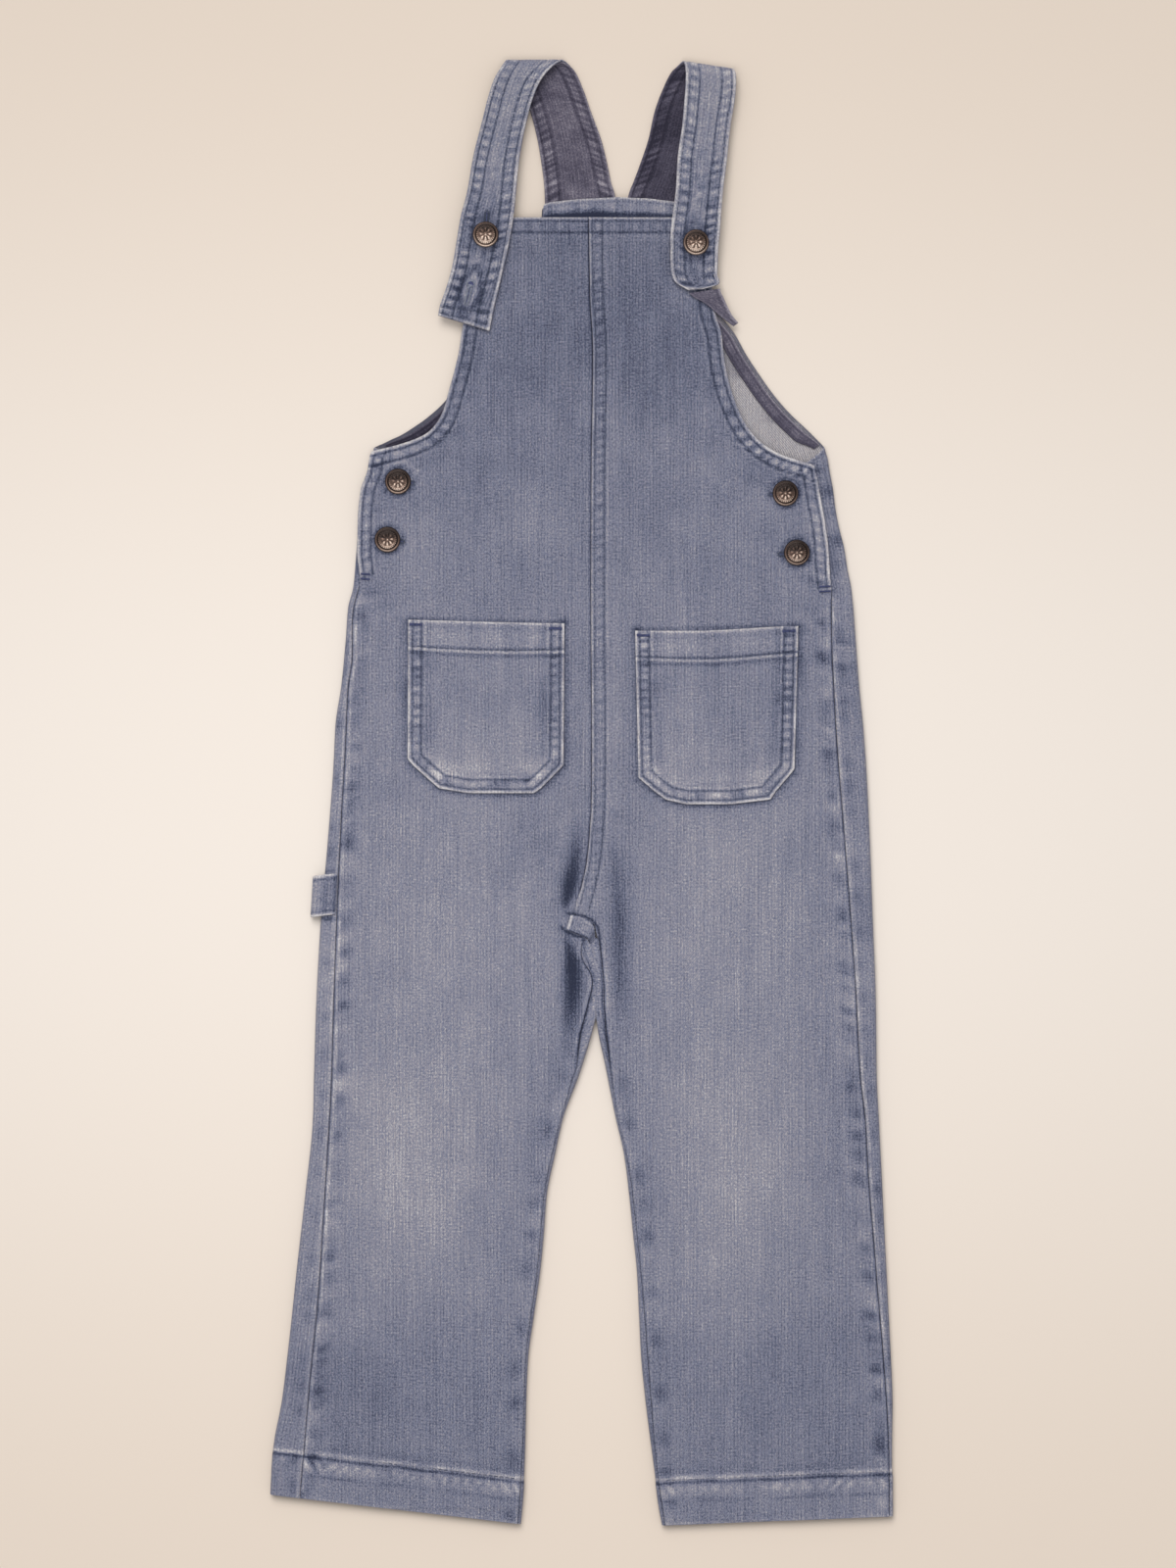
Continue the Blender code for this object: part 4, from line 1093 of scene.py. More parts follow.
def backGrid(side):
    # the back goes from the seam on top round both folds and along the table
    hem = side.hemRow
    y = uneven([
        (204, 205.2, 0.4), (205.2, 430, 3.2), (430, 486, 1.6), (486, 900, 3.2), (900, 1050, 1.6),
        (1050, hem - 56, 3.2), (hem - 56, hem - 36, 1.0), (hem - 36, hem - 1.5, 3.2), (hem - 1.5, hem, 0.5),
    ])
    under = backLook["underSeam"]
    near = follow(side.fold, y)
    radius, inner = side.backHeight(y) / 2, tubeHeight / 2
    seam = side.sign * (follow(side.edge, y) - near) * gridStep - under
    reach = np.where(y < side.start[-1][0] + 0.5, follow(side.start, y) * gridStep, seam)
    angle = np.arcsin(np.clip(1 - np.abs(reach) / radius, 0, 1))
    beyond = np.maximum(np.abs(reach) - radius, 0)
    start = np.where(reach > 0, radius * angle - beyond, radius * (np.pi - angle) + beyond)
    power = squareness(y)
    line = side.innerLine(y)
    gapLeft = np.maximum(side.sign * (line - follow(side.inner, y)) * gridStep - under, 0.05)
    endAngle = np.pi - np.arcsin(np.clip(1 - gapLeft / inner, 0, 1) ** (1 / power))
    endAngle = np.where(y < crotchRow, np.pi * ease(y, 914, 960), endAngle)
    endBeyond = np.where(y < crotchRow, 0, np.maximum(gapLeft - inner, 0))
    shortBy = np.where(endAngle < np.pi / 2, inner * (1 - np.sin(endAngle) ** power), 0)
    width = np.abs(line + side.sign * shortBy * perMm - near) * gridStep
    floorStart = np.pi * radius
    floorEnd = floorStart + width - radius - inner
    topAgain = floorEnd + np.pi * inner
    end = floorEnd + endAngle * inner + endBeyond
    spans = [
        (start, 0 * start, (0, 0.03, 0.08, 0.16, 0.3, 0.5, 0.75)),
        (0 * start, floorStart, np.linspace(0, 1, 11)),
        (floorStart, floorEnd, (0.12, 0.3, 0.5, 0.7, 0.88)),
        (floorEnd, topAgain, (0, 0.12, 0.24, 0.36, 0.5, 0.64, 0.76, 0.88, 1)),
        (topAgain, end, (0.3, 0.6, 0.85, 0.95, 1)),
    ]
    marks = np.stack([low + (high - low) * part for low, high, parts in spans for part in parts], axis=1)
    # columns keep a least distance, also where a stretch has no length
    order = 0.03 * np.arange(marks.shape[1])
    c = np.clip(marks, start[:, None] + order, end[:, None] - order[::-1])
    c[:, 0], c[:, -1] = start, end

    def point(c):
        first = np.clip(c / radius[:, None], 0, np.pi)
        second = np.clip((c - floorEnd[:, None]) / inner, 0, np.pi)
        k = power[:, None]
        inward = radius[:, None] * (1 - np.sin(first)) - np.minimum(c, 0)
        inward += np.clip(c - floorStart[:, None], 0, (floorEnd - floorStart)[:, None])
        inward += inner * np.sin(second) ** k - np.maximum(c - topAgain[:, None], 0)
        bend = 1 - np.sign(np.cos(second)) * np.abs(np.cos(second)) ** k
        z = radius[:, None] * (1 + np.cos(first)) + inner * bend
        return near[:, None] + side.sign * inward * perMm, z

    x, z = point(c)
    (x2, z2), (x1, z1) = point(c + 0.01), point(c - 0.01)
    into = unit(np.stack([-(z2 - z1), (x2 - x1) * gridStep], axis=2)) * side.sign
    into[z < 0.02] = (0, 1)
    rows = np.repeat(y[:, None], x.shape[1], axis=1)
    return x, z, into, rows, c * perMm, (start * perMm)[:, None], (end * perMm)[:, None]


def topCurve(x, y):
    # the back's top edge rises towards its middle
    drop = np.interp(x, [553, 556, 562, 590, 630, 662, 684, 705], [9, 4.5, 2.6, -0.4, -2.4, -1, 1.6, 4])
    return drop * (1 - ease(y, 206, 234))


def backRelief(side, x, y, z, upper, path, fromStart, fromEnd):
    # height in mm and tone of the outer face; upper is 1 on top and 0 near the table
    seed = side.seed + 100
    # painted shade on the low sides where the back curves down to the table
    tone = baseFade(x, y) + backLook["tone"][side.word] - 0.08 * (1 - upper) * (z > 0.01)
    # beside the side seam
    seamed = ease(y, side.tack - 4, side.tack + 12)
    wearAndShade = 0.7 + 0.4 * cellNoise(y, 9, seed + 3)
    blots = 0.2 * puckers(y, seed + 1, 38, 8) * bump(fromStart, 8, 5)
    tone += (backLook["ridge"][side.word] * bump(fromStart, 1.8, 1.8) * wearAndShade - blots) * seamed * upper
    # painted shading of wrinkles, painted shadows and the painted crotch shadow lines
    tone += (wrinkleTone(x, y, wrinklesAndShadows) + 0.7 * crotchShadows(x, y)) * upper
    rise = 0.12 * bump(fromStart, 3, 2.5) + 0.12 * cellNoise(y, 19, seed + 2) * bump(fromStart, 8, 6)
    rise *= seamed * upper
    # shade and pulls beside the side opening
    away, along = nearLine(side.lines["placket"], x, y)
    pulls = 0.2 * puckers(along, seed + 7, 30, 6) * bump(away, 9, 8)
    tone -= (0.2 * bump(away, 1, 3) + pulls) * ease(y, side.corner - 2, side.corner + 12) * upper
    # beside the inner seam and on the crotch
    tone += 0.05 * (1 - ease(y, 1000, legsPart)) * ease(y, crotchRow, 968) * upper
    tone -= 0.1 * bump(fromEnd, 0, 2.2) * ease(y, 1036, 1060) * upper
    # upper edge of the side extension, and the armhole edge
    topEdge = 1 - ease(y, 500, 520)
    tone += (0.22 * bump(fromStart, 0.8, 1.6) - 0.12 * bump(fromStart, 5, 1.6) * ease(y, 452, 458)) * topEdge
    # leg hem
    fromHem = side.hemRow - y - frontLook["hemDepth"]
    band = 1 - ease(fromHem, -1.5, 0.8)
    rope = cellNoise(path + 0.8 * fromHem, 6, seed + 5) * band
    rise += (0.4 * band + profile([(0.18, 2.2, 2.0), (-0.25, -1.6, 1.3)], fromHem)) * upper
    rise += 0.1 * rope * bump(fromHem, -9, 8) * upper
    tone += profile([(0.36, 2.2, 2.2), (-0.4, -1.4, 1.7)], fromHem) + 0.15 * rope * bump(fromHem, -9, 7)
    return rise, tone


def buildBack(side):
    name = "back_" + side.word
    x, z, into, y, path, start, end = backGrid(side)
    fromStart, fromEnd = path - start, end - path
    upper = ease(z, 1.6, 3.4)
    rise, tone = backRelief(side, x, y, z, upper, path, fromStart, fromEnd)
    parted = np.clip(ease(y, 1034, 1048) + (y < crotchRow), 0, 1)
    thick = backLook["thick"]
    rounded = (cushionEdges(fromStart, thick) + cushionEdges(fromEnd, thick) * parted) * upper

    def surface(depth):
        # the section moved into the tube, then set on its rows
        moved = np.stack([x, z], axis=2) + into * depth[..., None] * (perMm, 1)
        across = moved[..., 0]
        return np.stack([across, y + side.lean(across, y) + topCurve(across, y), moved[..., 1]], axis=2)

    faces = shellFaces(*x.shape)
    if side is left:
        faces = [part[:, ::-1] for part in faces]
    insideTone = backLook["inside"] + 0.05 * cloudNoise(x, y, 30, side.seed + 100)
    # painted shade on the wrong side where it shows in the armholes, darkest in the left one
    insideTone -= 0.5 * bump(fromStart, 1.2, 3.2) * (y < 456)
    if side is left:
        insideTone -= 0.4 * (1 - ease(y, 458, 470))
    place = clothPlace(path + 40 * side.sign * perMm, y)
    outer, inner = surface(rounded - rise), surface(np.full(x.shape, backLook["wall"]))
    piece = shellPiece(name, outer, inner, faces, tone, insideTone, place, [denim, denimInside])
    dress(piece, name)


buildBack(left)
buildBack(right)
print("backs made")

# Pockets and facings


def rowsToGrid(rows, y, fractions):
    rows = np.array(rows, float)
    low = np.interp(y, rows[:, 0], rows[:, 1])
    high = np.interp(y, rows[:, 0], rows[:, 2])
    x = low[:, None] + (high - low)[:, None] * fractions[None, :]
    return x, np.repeat(y[:, None], len(fractions), axis=1)


pocketLook = {
    "lift": 1.3,
    "hem": 29.5,
    "hemRaise": 0.3,
    "band": {"width": 14.6, "raiseBy": 0.35, "firstRow": 4.2},
}


def pocketHem(fromTop):
    return 1 - ease(fromTop, pocketLook["hem"], pocketLook["hem"] + 1.5)


def pocketTone(side, x, y, away, along):
    # pulls and fading of a pocket, but for its stitched band
    top, bottom = side.pocket[0][0], side.pocket[-1][0]
    fromTop, seed = y - top, side.seed + 40
    onSides = 1 - ease(y, bottom - 48, bottom - 34)
    clumps = np.clip(0.75 + 1.2 * cellNoise(along, 44, seed + 11), 0.15, 1)
    corners = np.clip(0.15 + 1.6 * cloudNoise(x, y, 13, seed + 13), -0.5, 1)
    tone = baseFade(x, y) + 0.25 * ladder(along, seed + 12, 9.5) * clumps * onSides * bump(away, 9.5, 4.5)
    tone += 0.24 * corners * bump(away, 9.5, 4) * (1 - onSides) - 0.02 * (1 - ease(away, 14, 17))
    tone -= 0.09 * bump(away, 21, 7) * (0.7 + 0.6 * cloudNoise(x, y, 20, seed + 14)) * onSides
    pale = 0.1 * bump(bottom - y, 26, 9) * (0.6 + 0.7 * cellNoise(x, 18, seed + 15))
    tone += pale * ease(away, 13, 18) + 0.05 * cloudNoise(x, y, 22, seed)
    tone += 0.07 * bump(y, bottom - 55, 35) * bump(x, x.mean(), 60)
    # top hem with one row above its lower fold
    tone += (0.07 + 0.14 * bump(away, 16.5, 1.6)) * pocketHem(fromTop)
    tone += profile([
        (-0.3, 26.0, 1.5), (0.2, 29, 1.4), (-0.2, 32.5, 2.2), (0.2, 1.0, 1.5), (-0.06, 6, 2), (0.05, 15, 3),
    ], fromTop)
    tone += 0.05 * cellNoise(x, 6, seed + 3) * bump(fromTop, 20, 6)
    tone += 0.06 * cellNoise(x, 20, seed + 7) * bump(fromTop, 12, 10)
    tone += wrinkleTone(x, y, cornerMarks)
    # faded lower corners
    outline = pocketOutline(side.pocket)
    for corner in (outline[4:8], outline[-8:-4]):
        wearAndShade = 0.6 + 0.4 * cloudNoise(x, y, 7, seed + 5)
        tone += 0.12 * bump(awayFrom(corner, x, y), 18, 10) * wearAndShade
    return tone


def buildPocket(side):
    name = "pocket_" + side.word
    top, bottom = side.pocket[0][0], side.pocket[-1][0]
    y = uneven([
        (top, top + 1.2, 0.4), (top + 1.2, top + 36, 0.9), (top + 36, bottom - 22, 1.8),
        (bottom - 22, bottom, 0.8),
    ])
    x, y = rowsToGrid(side.pocket, y, spacing(160.0, 19, 0.9, 2.0) / 160.0)
    away, along = nearLine(pocketOutline(side.pocket), x, y)
    fromTop, seed = y - top, side.seed + 40
    height, tone = stitchedBand(away, along, seed, pull=0.35, **pocketLook["band"])
    tone += pocketTone(side, x, y, away, along)
    height += pocketLook["hemRaise"] * pocketHem(fromTop)
    height += profile([(-0.2, 26.5, 1.2), (-0.12, 31.5, 1.2)], fromTop)
    height += 0.1 * cellNoise(x, 6, seed + 3) * bump(fromTop, 20, 6)
    edge = np.minimum(away, fromTop)
    tone += 0.12 * bump(edge, 0.6, 1.2)
    z = frontTop(side, x, y) + pocketLook["lift"] + height
    grid = np.stack([x, y + pocketSag(side, x, y), z], axis=2)
    place = clothPlace(x, y) + (7.3, 3.1, 0)
    piece = clothPiece(name, grid, edge, tone, place, [denim, denimInside])
    dress(piece, name)


buildPocket(left)
buildPocket(right)
print("pockets made")

topFacingLook = {
    "rows": [(203.4, 554.5, 699), (219, 553.6, 703), (235, 551, 707)],
    "size": (0.0874, 0.0174),
    "height": 4.9,
    "tone": 0.52,
    "thick": 1.0,
}


def buildTopFacing():
    rows = topFacingLook["rows"]
    top, bottom = rows[0][0], rows[-1][0]
    y = uneven([(top, 204.6, 0.4), (204.6, 222, 0.8), (222, bottom, 2.0)])
    x, y = rowsToGrid(rows, y, spacing(148.0, 12, 1.0, 1.8) / 148.0)
    fromTop = y - top
    blots = cellNoise(x, 5.5, 61)
    tone = topFacingLook["tone"] + profile([(0.3, 0.6, 1.6), (-0.1, 4.4, 1.2)], fromTop)
    tone += 0.14 * blots * bump(fromTop, 9, 5) + profile([(-0.16, 630, 1.2), (0.12, 633, 1.4)], x)
    # painted shadow along the lower edge, where the front bib's top lies over it; darker left of x 620 below
    # the top rows
    tone -= 0.25 * ease(fromTop, 8, 12) * ease(620 - x, -8, 8) + 0.55 * ease(fromTop, 12, 16.5)
    tone += 0.12 * bump(x, 664, 14) * bump(fromTop, 8, 6) * (0.5 + 0.5 * cloudNoise(x, y, 4, 62))
    height = 0.12 * blots * bump(fromTop, 9, 4) - 0.15 * bump(fromTop, 4.4, 1.1) + 0.25 * bump(x, 636, 7)
    edge = np.minimum(fromTop, bottom - y)
    grid = np.stack([x, y + topCurve(x, y), topFacingLook["height"] + height], axis=2)
    piece = clothPiece("back_top_facing", grid, edge, tone, clothPlace(x, y), [denim], topFacingLook["thick"])
    dress(piece, "back_top_facing")


buildTopFacing()

armFacingLook = {
    "rows": (240, 451.5),
    "columns": 14.0,
    "width": 13.0,  # in grid steps, 6 less at its lower end
    "fromEdge": 4.2,
    "height": 2.4,
    # the left facing is painted much darker, as shade in its armhole
    "tone": {"left": 0.1, "right": 0.5},
    "thick": 0.85,
    "size": (0.0112, 0.15),
    "area": 0.00105,
}


def buildArmholeFacing(side):
    name = "back_facing_" + side.word
    low, high = armFacingLook["rows"]
    y = uneven([(low, 430, 4.0), (430, high, 1.5)])
    line = np.stack([follow(side.fold, y) - side.sign * follow(side.start, y), y], axis=1)
    fine = np.linspace(0, len(line) - 1, 260)
    line = np.stack([np.interp(fine, np.arange(len(line)), line[:, k]) for k in (0, 1)], axis=1)
    direction = unit(np.gradient(line, axis=0))
    normal = np.stack([direction[:, 1], -direction[:, 0]], axis=1)
    normal *= (np.sign(normal[:, 0]) * side.sign)[:, None]
    full = armFacingLook["columns"]
    across = spacing(full, 5, 0.8, 1.2)
    wide = (armFacingLook["width"] - 6.0 * ease(line[:, 1], 436, 452)) / full
    reach = (armFacingLook["fromEdge"] + across[None, :]) * wide[:, None]
    points = line[:, None, :] + normal[:, None, :] * reach[..., None]
    along = np.concatenate([[0], np.cumsum(np.linalg.norm(np.diff(line, axis=0), axis=1))])
    d, s = np.meshgrid(across, along)
    blots = cellNoise(s, 5, side.seed + 70) * bump(d, 8, 4)
    tone = armFacingLook["tone"][side.word] + 0.13 * blots
    tone += profile([(0.34, 0.5, 1.1), (-0.12, 3, 1.0), (-0.24, 11.8, 1.2), (-0.2, 14, 1.0)], d)
    height = armFacingLook["height"] + 0.12 * blots + profile([(-0.12, 3, 1), (-0.12, 12.6, 1)], d)
    grid = np.concatenate([points, height[..., None]], axis=2)
    edge = np.minimum(d, full - d)
    piece = clothPiece(name, grid, edge, tone, clothPlace(d, s), [chambray], armFacingLook["thick"])
    dress(piece, name)


buildArmholeFacing(left)
buildArmholeFacing(right)
print("facings made")

# Straps

strapLook = {
    "pitch": 1.5,
    "band": {"width": 15.6, "raiseBy": 0.0, "firstRow": 4.4},
    "thick": 0.95,
    "liningThick": 0.85,
    "liningDepth": 2.0,
    "front": 0.45,  # share of the length that shows the outside
    "liningTone": 0.52,
    "tailTone": 0.57,
    "tailSize": (0.0183, 0.0265),
    "tailArea": 0.00024,
}
strapColumns = spacing(54.0, 19, 1.1, 2.2) / 54.0
leftStrap = {
    "word": "left", "rows": strapLeftRows, "tail": None, "seed": 131,
    "size": (0.031, 0.245), "tone": 0.62,
    "rings": [(*buttonPlace["button_strap_left"], 13), (479, 299, 10)],
    "shaded": (566, 548, 0.08),  # lining under the strap: from x, to x, tone
    "stitched": (3, 0.57),  # first row and share of the rows
}
rightStrap = {
    "word": "right", "rows": strapRightRows, "tail": tailRows, "seed": 151,
    "size": (0.03, 0.22), "tone": 0.665,
    "rings": [(*buttonPlace["button_strap_right"], 13)],
    "shaded": (626, 660, 0.3),
    "stitched": (8, 0.55),
}


def smoothRows(rows):
    # a smooth strip of cross lines through the rows
    rows = np.array(rows, float)
    middle = (rows[:, :2] + rows[:, 2:4]) / 2 * gridStep
    steps = np.diff(np.concatenate([middle, rows[:, 4:5]], axis=1), axis=0)
    length = np.concatenate([[0], np.cumsum(np.linalg.norm(steps, axis=1))]) * perMm
    at = np.linspace(0, length[-1], int(length[-1] / strapLook["pitch"]))
    tangent = np.empty_like(rows)
    gaps = np.diff(length)[:, None]
    slopes = np.diff(rows, axis=0) / gaps
    tangent[1:-1] = (slopes[:-1] * gaps[1:] + slopes[1:] * gaps[:-1]) / (gaps[1:] + gaps[:-1])
    tangent[0], tangent[-1] = slopes[0], slopes[-1]
    # no dip below the table where the strap lies flat
    flat = np.zeros(len(rows), bool)
    flat[1:-1] = (slopes[:-1, 4] * slopes[1:, 4]) <= 0
    tangent[flat, 4] = 0
    k = np.clip(np.searchsorted(length, at) - 1, 0, len(rows) - 2)
    width = (length[k + 1] - length[k])[:, None]
    t = (at - length[k])[:, None] / width
    out = (1 + 2 * t) * (1 - t) ** 2 * rows[k] + t * (1 - t) ** 2 * width * tangent[k]
    out += t**2 * (3 - 2 * t) * rows[k + 1] + t**2 * (t - 1) * width * tangent[k + 1]
    return out, at


def stripGrid(rows):
    # points, then how far along, across and from the nearer edge they are, in grid steps
    rows, along = smoothRows(rows)
    parts = strapColumns[None, :, None]
    grid = rows[:, None, [0, 1, 4]] * (1 - parts) + rows[:, None, [2, 3, 4]] * parts
    width = np.linalg.norm(rows[:, 2:4] - rows[:, :2], axis=1)[:, None]
    part = strapColumns[None, :] * width
    s = np.repeat(along[:, None], len(strapColumns), axis=1)
    return grid, s, part, np.minimum(part, width - part)


def strapOutside(strap, grid, s, part, d):
    # height and tone of the denim side
    seed, band = strap["seed"], strapLook["band"]
    leftHalf = part < part[:, -1:] / 2
    one, oneTone = stitchedBand(d, s, seed, **band)
    two, twoTone = stitchedBand(d, s + 400, seed + 5, **band)
    height = np.where(leftHalf, one, two) + 0.08 * cloudNoise(s, part, 17, seed)
    tone = strap["tone"] + np.where(leftHalf, oneTone, twoTone) + 0.06 * cloudNoise(s, part, 24, seed + 1)
    nearEnd = 1 - ease(s, 95, 190)
    wave = (s + 4 * cellNoise(s, 30, seed + 12)) / 10.3
    pulled = np.tanh(3.2 * np.sin(2 * math.pi * wave + np.where(leftHalf, 0, 2.1)))
    tone += 0.12 * pulled * bump(d, 10, 6) * (0.3 + 0.7 * nearEnd)
    tone += 0.1 * bump(d, 2.4, 1.8) * (0.5 + 0.8 * cellNoise(s, 6, seed + 14))
    tone += profile([(-0.08, 0.9, 1.6), (-0.1, 0, 1.2)], d) - 0.16 * nearEnd * ease(d, 4, 7)
    blots = np.clip(cloudNoise(s, part * 1.3, 6.5, seed + 13) * 1.6, -1, 1)
    tone += 0.14 * blots * nearEnd * bump(d, 25, 8) + 0.07 * cellNoise(s, 5, seed + 2) * bump(d, 24, 6)
    front = s < s.max() * strapLook["front"]
    # painted shadow round the strap button, and a dark ring round the spare buttonhole
    for hx, hy, reach in strap["rings"]:
        away = np.hypot(grid[..., 0] - hx, (grid[..., 1] - hy) * 0.75)
        tone -= front * 0.2 * bump(away, reach, 5)
    if strap["tail"]:
        return height, tone + profile([(0.3, 1.5, 2.2), (-0.1, 6, 1.6)], s)
    # the end is turned in, and a spare buttonhole is worked beside it
    height += profile([(-0.14, 5, 1.2), (-0.14, 14, 1.2)], s)
    tone += profile([(0.26, 0.6, 1.6), (-0.13, 5, 1.3), (-0.14, 14, 1.4)], s)
    tone += 0.1 * cellNoise(part, 5, seed + 3) * bump(s, 9.5, 3)
    down = grid[..., 1] - 297
    oval = np.hypot((grid[..., 0] - 480.2 + 0.2 * down) / 7, down / 16)
    tone += front * profile([(0.42, 0.8, 0.24), (-0.3, 0, 0.3), (-0.14, 1.45, 0.3)], oval)
    return height, tone


def strapInside(strap, grid, s, part, d):
    # height and tone of the lining side
    seed = strap["seed"]
    pulled = s + 0.5 * d
    blots = np.tanh(1.54 * cellNoise(pulled, 3.2, seed + 7) + 1.1 * cellNoise(pulled, 7, seed + 9))
    nearRow = bump(d, 9, 6.5)
    start, end, shade = strap["shaded"]
    # painted shade on the lining where the strap's front half lies over it
    tone = strapLook["liningTone"] - shade * ease(grid[..., 0], start, end)
    tone += profile([(0.22, 0.6, 1.5), (-0.26, 4.4, 1.3), (-0.32, 15, 1.4)], d)
    tone += (0.14 * blots + 0.2 * ladder(pulled, seed + 15, 7.5)) * nearRow
    tone += 0.09 * cloudNoise(s, part, 15, seed + 8)
    tone += 0.1 * cloudNoise(s * 1.5, part, 6, seed + 10) * bump(d, 26, 9)
    height = 0.2 * blots * nearRow + profile([(-0.15, 4.4, 1.2), (-0.2, 15, 1.3)], d)
    height += 0.15 * cloudNoise(s, part, 9, seed + 11) * bump(d, 26, 10)
    return height, tone


def buildTail(strap):
    tip, s, part, d = (values[:-1] for values in stripGrid(strap["tail"][::-1]))
    tone = strapLook["tailTone"] + 0.3 * bump(part[:, -1:] - part, 0.8, 1.4) - 0.12 * bump(d, 4.4, 1.2)
    tone += 0.06 * cellNoise(s, 5, strap["seed"] + 9)
    edge, place = np.minimum(d, s), clothPlace(part, s)
    raised = tip + (0, 0, 0.1)
    piece = clothPiece("strap_tail_right", raised, edge, tone, place, [chambray], strapLook["liningThick"])
    dress(piece, None)


def buildStrap(strap):
    word, size = strap["word"], strap["size"]
    grid, s, part, d = stripGrid(strap["rows"])
    normal = faceUp(gridNormals(grid), len(grid) // 5, len(strapColumns) // 2)
    height, tone = strapOutside(strap, grid, s, part, d)
    outer, edge = shift(grid, normal, height), np.minimum(d, s)
    place = clothPlace(part, s) + (strap["seed"], 0, 0)
    piece = clothPiece("strap_" + word, outer, edge, tone, place, [denim], strapLook["thick"], normal)
    dress(piece, "strap_" + word)
    height, tone = strapInside(strap, grid, s, part, d)
    inner = shift(grid, -normal, strapLook["liningDepth"] + height)
    place, name = clothPlace(part, s) + (0, 11, 0), "strap_lining_" + word
    piece = clothPiece(name, inner, d, tone, place, [chambray], strapLook["liningThick"], -normal)
    if strap["tail"]:
        buildTail(strap)
    dress(piece, name)


buildStrap(leftStrap)
buildStrap(rightStrap)
print("straps made")

# Tool loop and the end of the seat seam


def through(points, steps):
    # a smooth line through the points
    points = np.array(points, float)
    at = np.linspace(0, len(points) - 1, steps)
    number = np.arange(len(points))
    return np.stack([follow(np.stack([number, column], axis=1), at) for column in points.T], axis=1)


toolLoopLook = {
    "section": [  # x and height
        (344.5, 7.0), (339, 7.1), (333, 7.05), (327, 6.7), (322.5, 5.6), (319.5, 4.0), (319.0, 2.6),
        (320.2, 1.1), (322.5, 0.05),
    ],
    "top": 890.8,
    "width": 42.0,
    "lean": -2.6,
    "slope": 0.12,
    "tone": 0.52,
    "thick": 1.0,
    "size": (0.0235, 0.019),
}


def buildToolLoop():
    name, full = "hammer_loop", toolLoopLook["width"]
    sectionX, sectionZ = through(toolLoopLook["section"], 46).T
    wide = spacing(full, 10, 1.0, 2.0)[:, None]
    x = sectionX[None, :] + toolLoopLook["lean"] * wide / full
    y = toolLoopLook["top"] + wide + (344 - x) * toolLoopLook["slope"]
    grid = np.stack([x, y, sectionZ[None, :] + 0 * x], axis=2)
    d = np.minimum(wide, full - wide) + 0 * x
    s = np.cumsum(np.hypot(np.gradient(sectionX), np.gradient(sectionZ) * perMm))[None, :] + 0 * x
    tone = toolLoopLook["tone"] + profile([(0.42, 0.9, 1.7), (-0.2, 4.6, 1.4)], d)
    # painted shade near the seam; lighter 24 steps round the fold, darker at 12
    tone += profile([(-0.28, 0, 5), (0.12, 24, 5), (-0.12, 12, 3)], s) + 0.08 * cloudNoise(s, d, 6, 71)
    normal = faceUp(gridNormals(grid), 10, 3)
    place = clothPlace(s, wide + 0 * s)
    piece = clothPiece(name, grid, np.minimum(d, s), tone, place, [denim], toolLoopLook["thick"], normal)
    dress(piece, name)


seatEndLook = {
    "top": [
        (582.4, 933.4), (590, 934.0), (597.8, 937.2), (603.6, 941.2), (606.6, 946), (607.2, 952),
        (607.4, 959),
    ],
    "low": [
        (578, 948.3), (585.5, 951.5), (593, 954.4), (598.4, 956.4), (600.2, 958.5), (601.2, 961), (602, 964),
    ],
    "width": 15.0,
    "length": 42.0,
    "height": 7.5,
    "tone": 0.5,
    "thick": 0.95,
    "size": (0.0102, 0.024),
    "area": 0.0002,
}


def buildSeatEnd():
    name, full, steps = "seat_seam_end", seatEndLook["width"], 60
    top, low = through(seatEndLook["top"], steps), through(seatEndLook["low"], steps)
    part = (spacing(full, 6, 0.7, 1.0) / full)[None, :, None]
    flat = top[:, None] * (1 - part) + low[:, None] * part
    x, y = flat[..., 0], flat[..., 1]
    s = np.linspace(0, seatEndLook["length"], steps)[:, None] + 0 * x
    across = part[..., 0] * full + 0 * x
    d = np.minimum(across, full - across)
    # painted shade where the end tucks down, and painted shadow lines along both long edges; the folded top
    # end is paler
    tone = seatEndLook["tone"] + profile([(0.45, 0.9, 1.7), (-0.2, 36, 8)], s)
    tone += profile([(0.12, 1.6, 1.3), (-0.35, 0, 0.9), (-0.35, full, 1.4)], across)
    tone += 0.1 * cloudNoise(x, y, 3.5, 81) * bump(s, 16, 10)
    z = seatEndLook["height"] - 1.9 * ease(s, 27, 42)
    grid = np.stack([x, y, z], axis=2)
    piece = clothPiece(name, grid, np.minimum(d, s), tone, clothPlace(s, d), [denim], seatEndLook["thick"])
    dress(piece, name)


buildToolLoop()
buildSeatEnd()
print("tool loop and seat seam end made")

# Stitches

stitchLook = {"length": 2.5, "gap": 0.7, "width": 0.5, "height": 0.3, "lift": 0.02}


def resample(line, pitch):
    line = np.asarray(line, float)
    length = np.concatenate([[0], np.cumsum(np.linalg.norm(np.diff(line, axis=0)[:, :2], axis=1))])
    at = np.arange(0, length[-1], pitch)
    return np.stack([np.interp(at, length, line[:, k]) for k in range(line.shape[1])], axis=1)


def addStitches(store, line):
    # dashes of thread along a line; without a third column the height comes from the surface
    step, length = 0.5, stitchLook["length"]
    fine = resample(line, step)
    pitch = (length + stitchLook["gap"]) * perMm
    for k in range(int(len(fine) * step / pitch)):
        (ax, ay, *az), (bx, by, *bz) = (
            fine[min(int(at / step), len(fine) - 1)] for at in (k * pitch, k * pitch + length * perMm)
        )
        store.append((ax, ay, bx, by, *(az or [np.nan]), *(bz or [np.nan]), stitchLook["width"]))


def ownHeight(x, y):
    # for stitches that bring their height
    return 0 * x


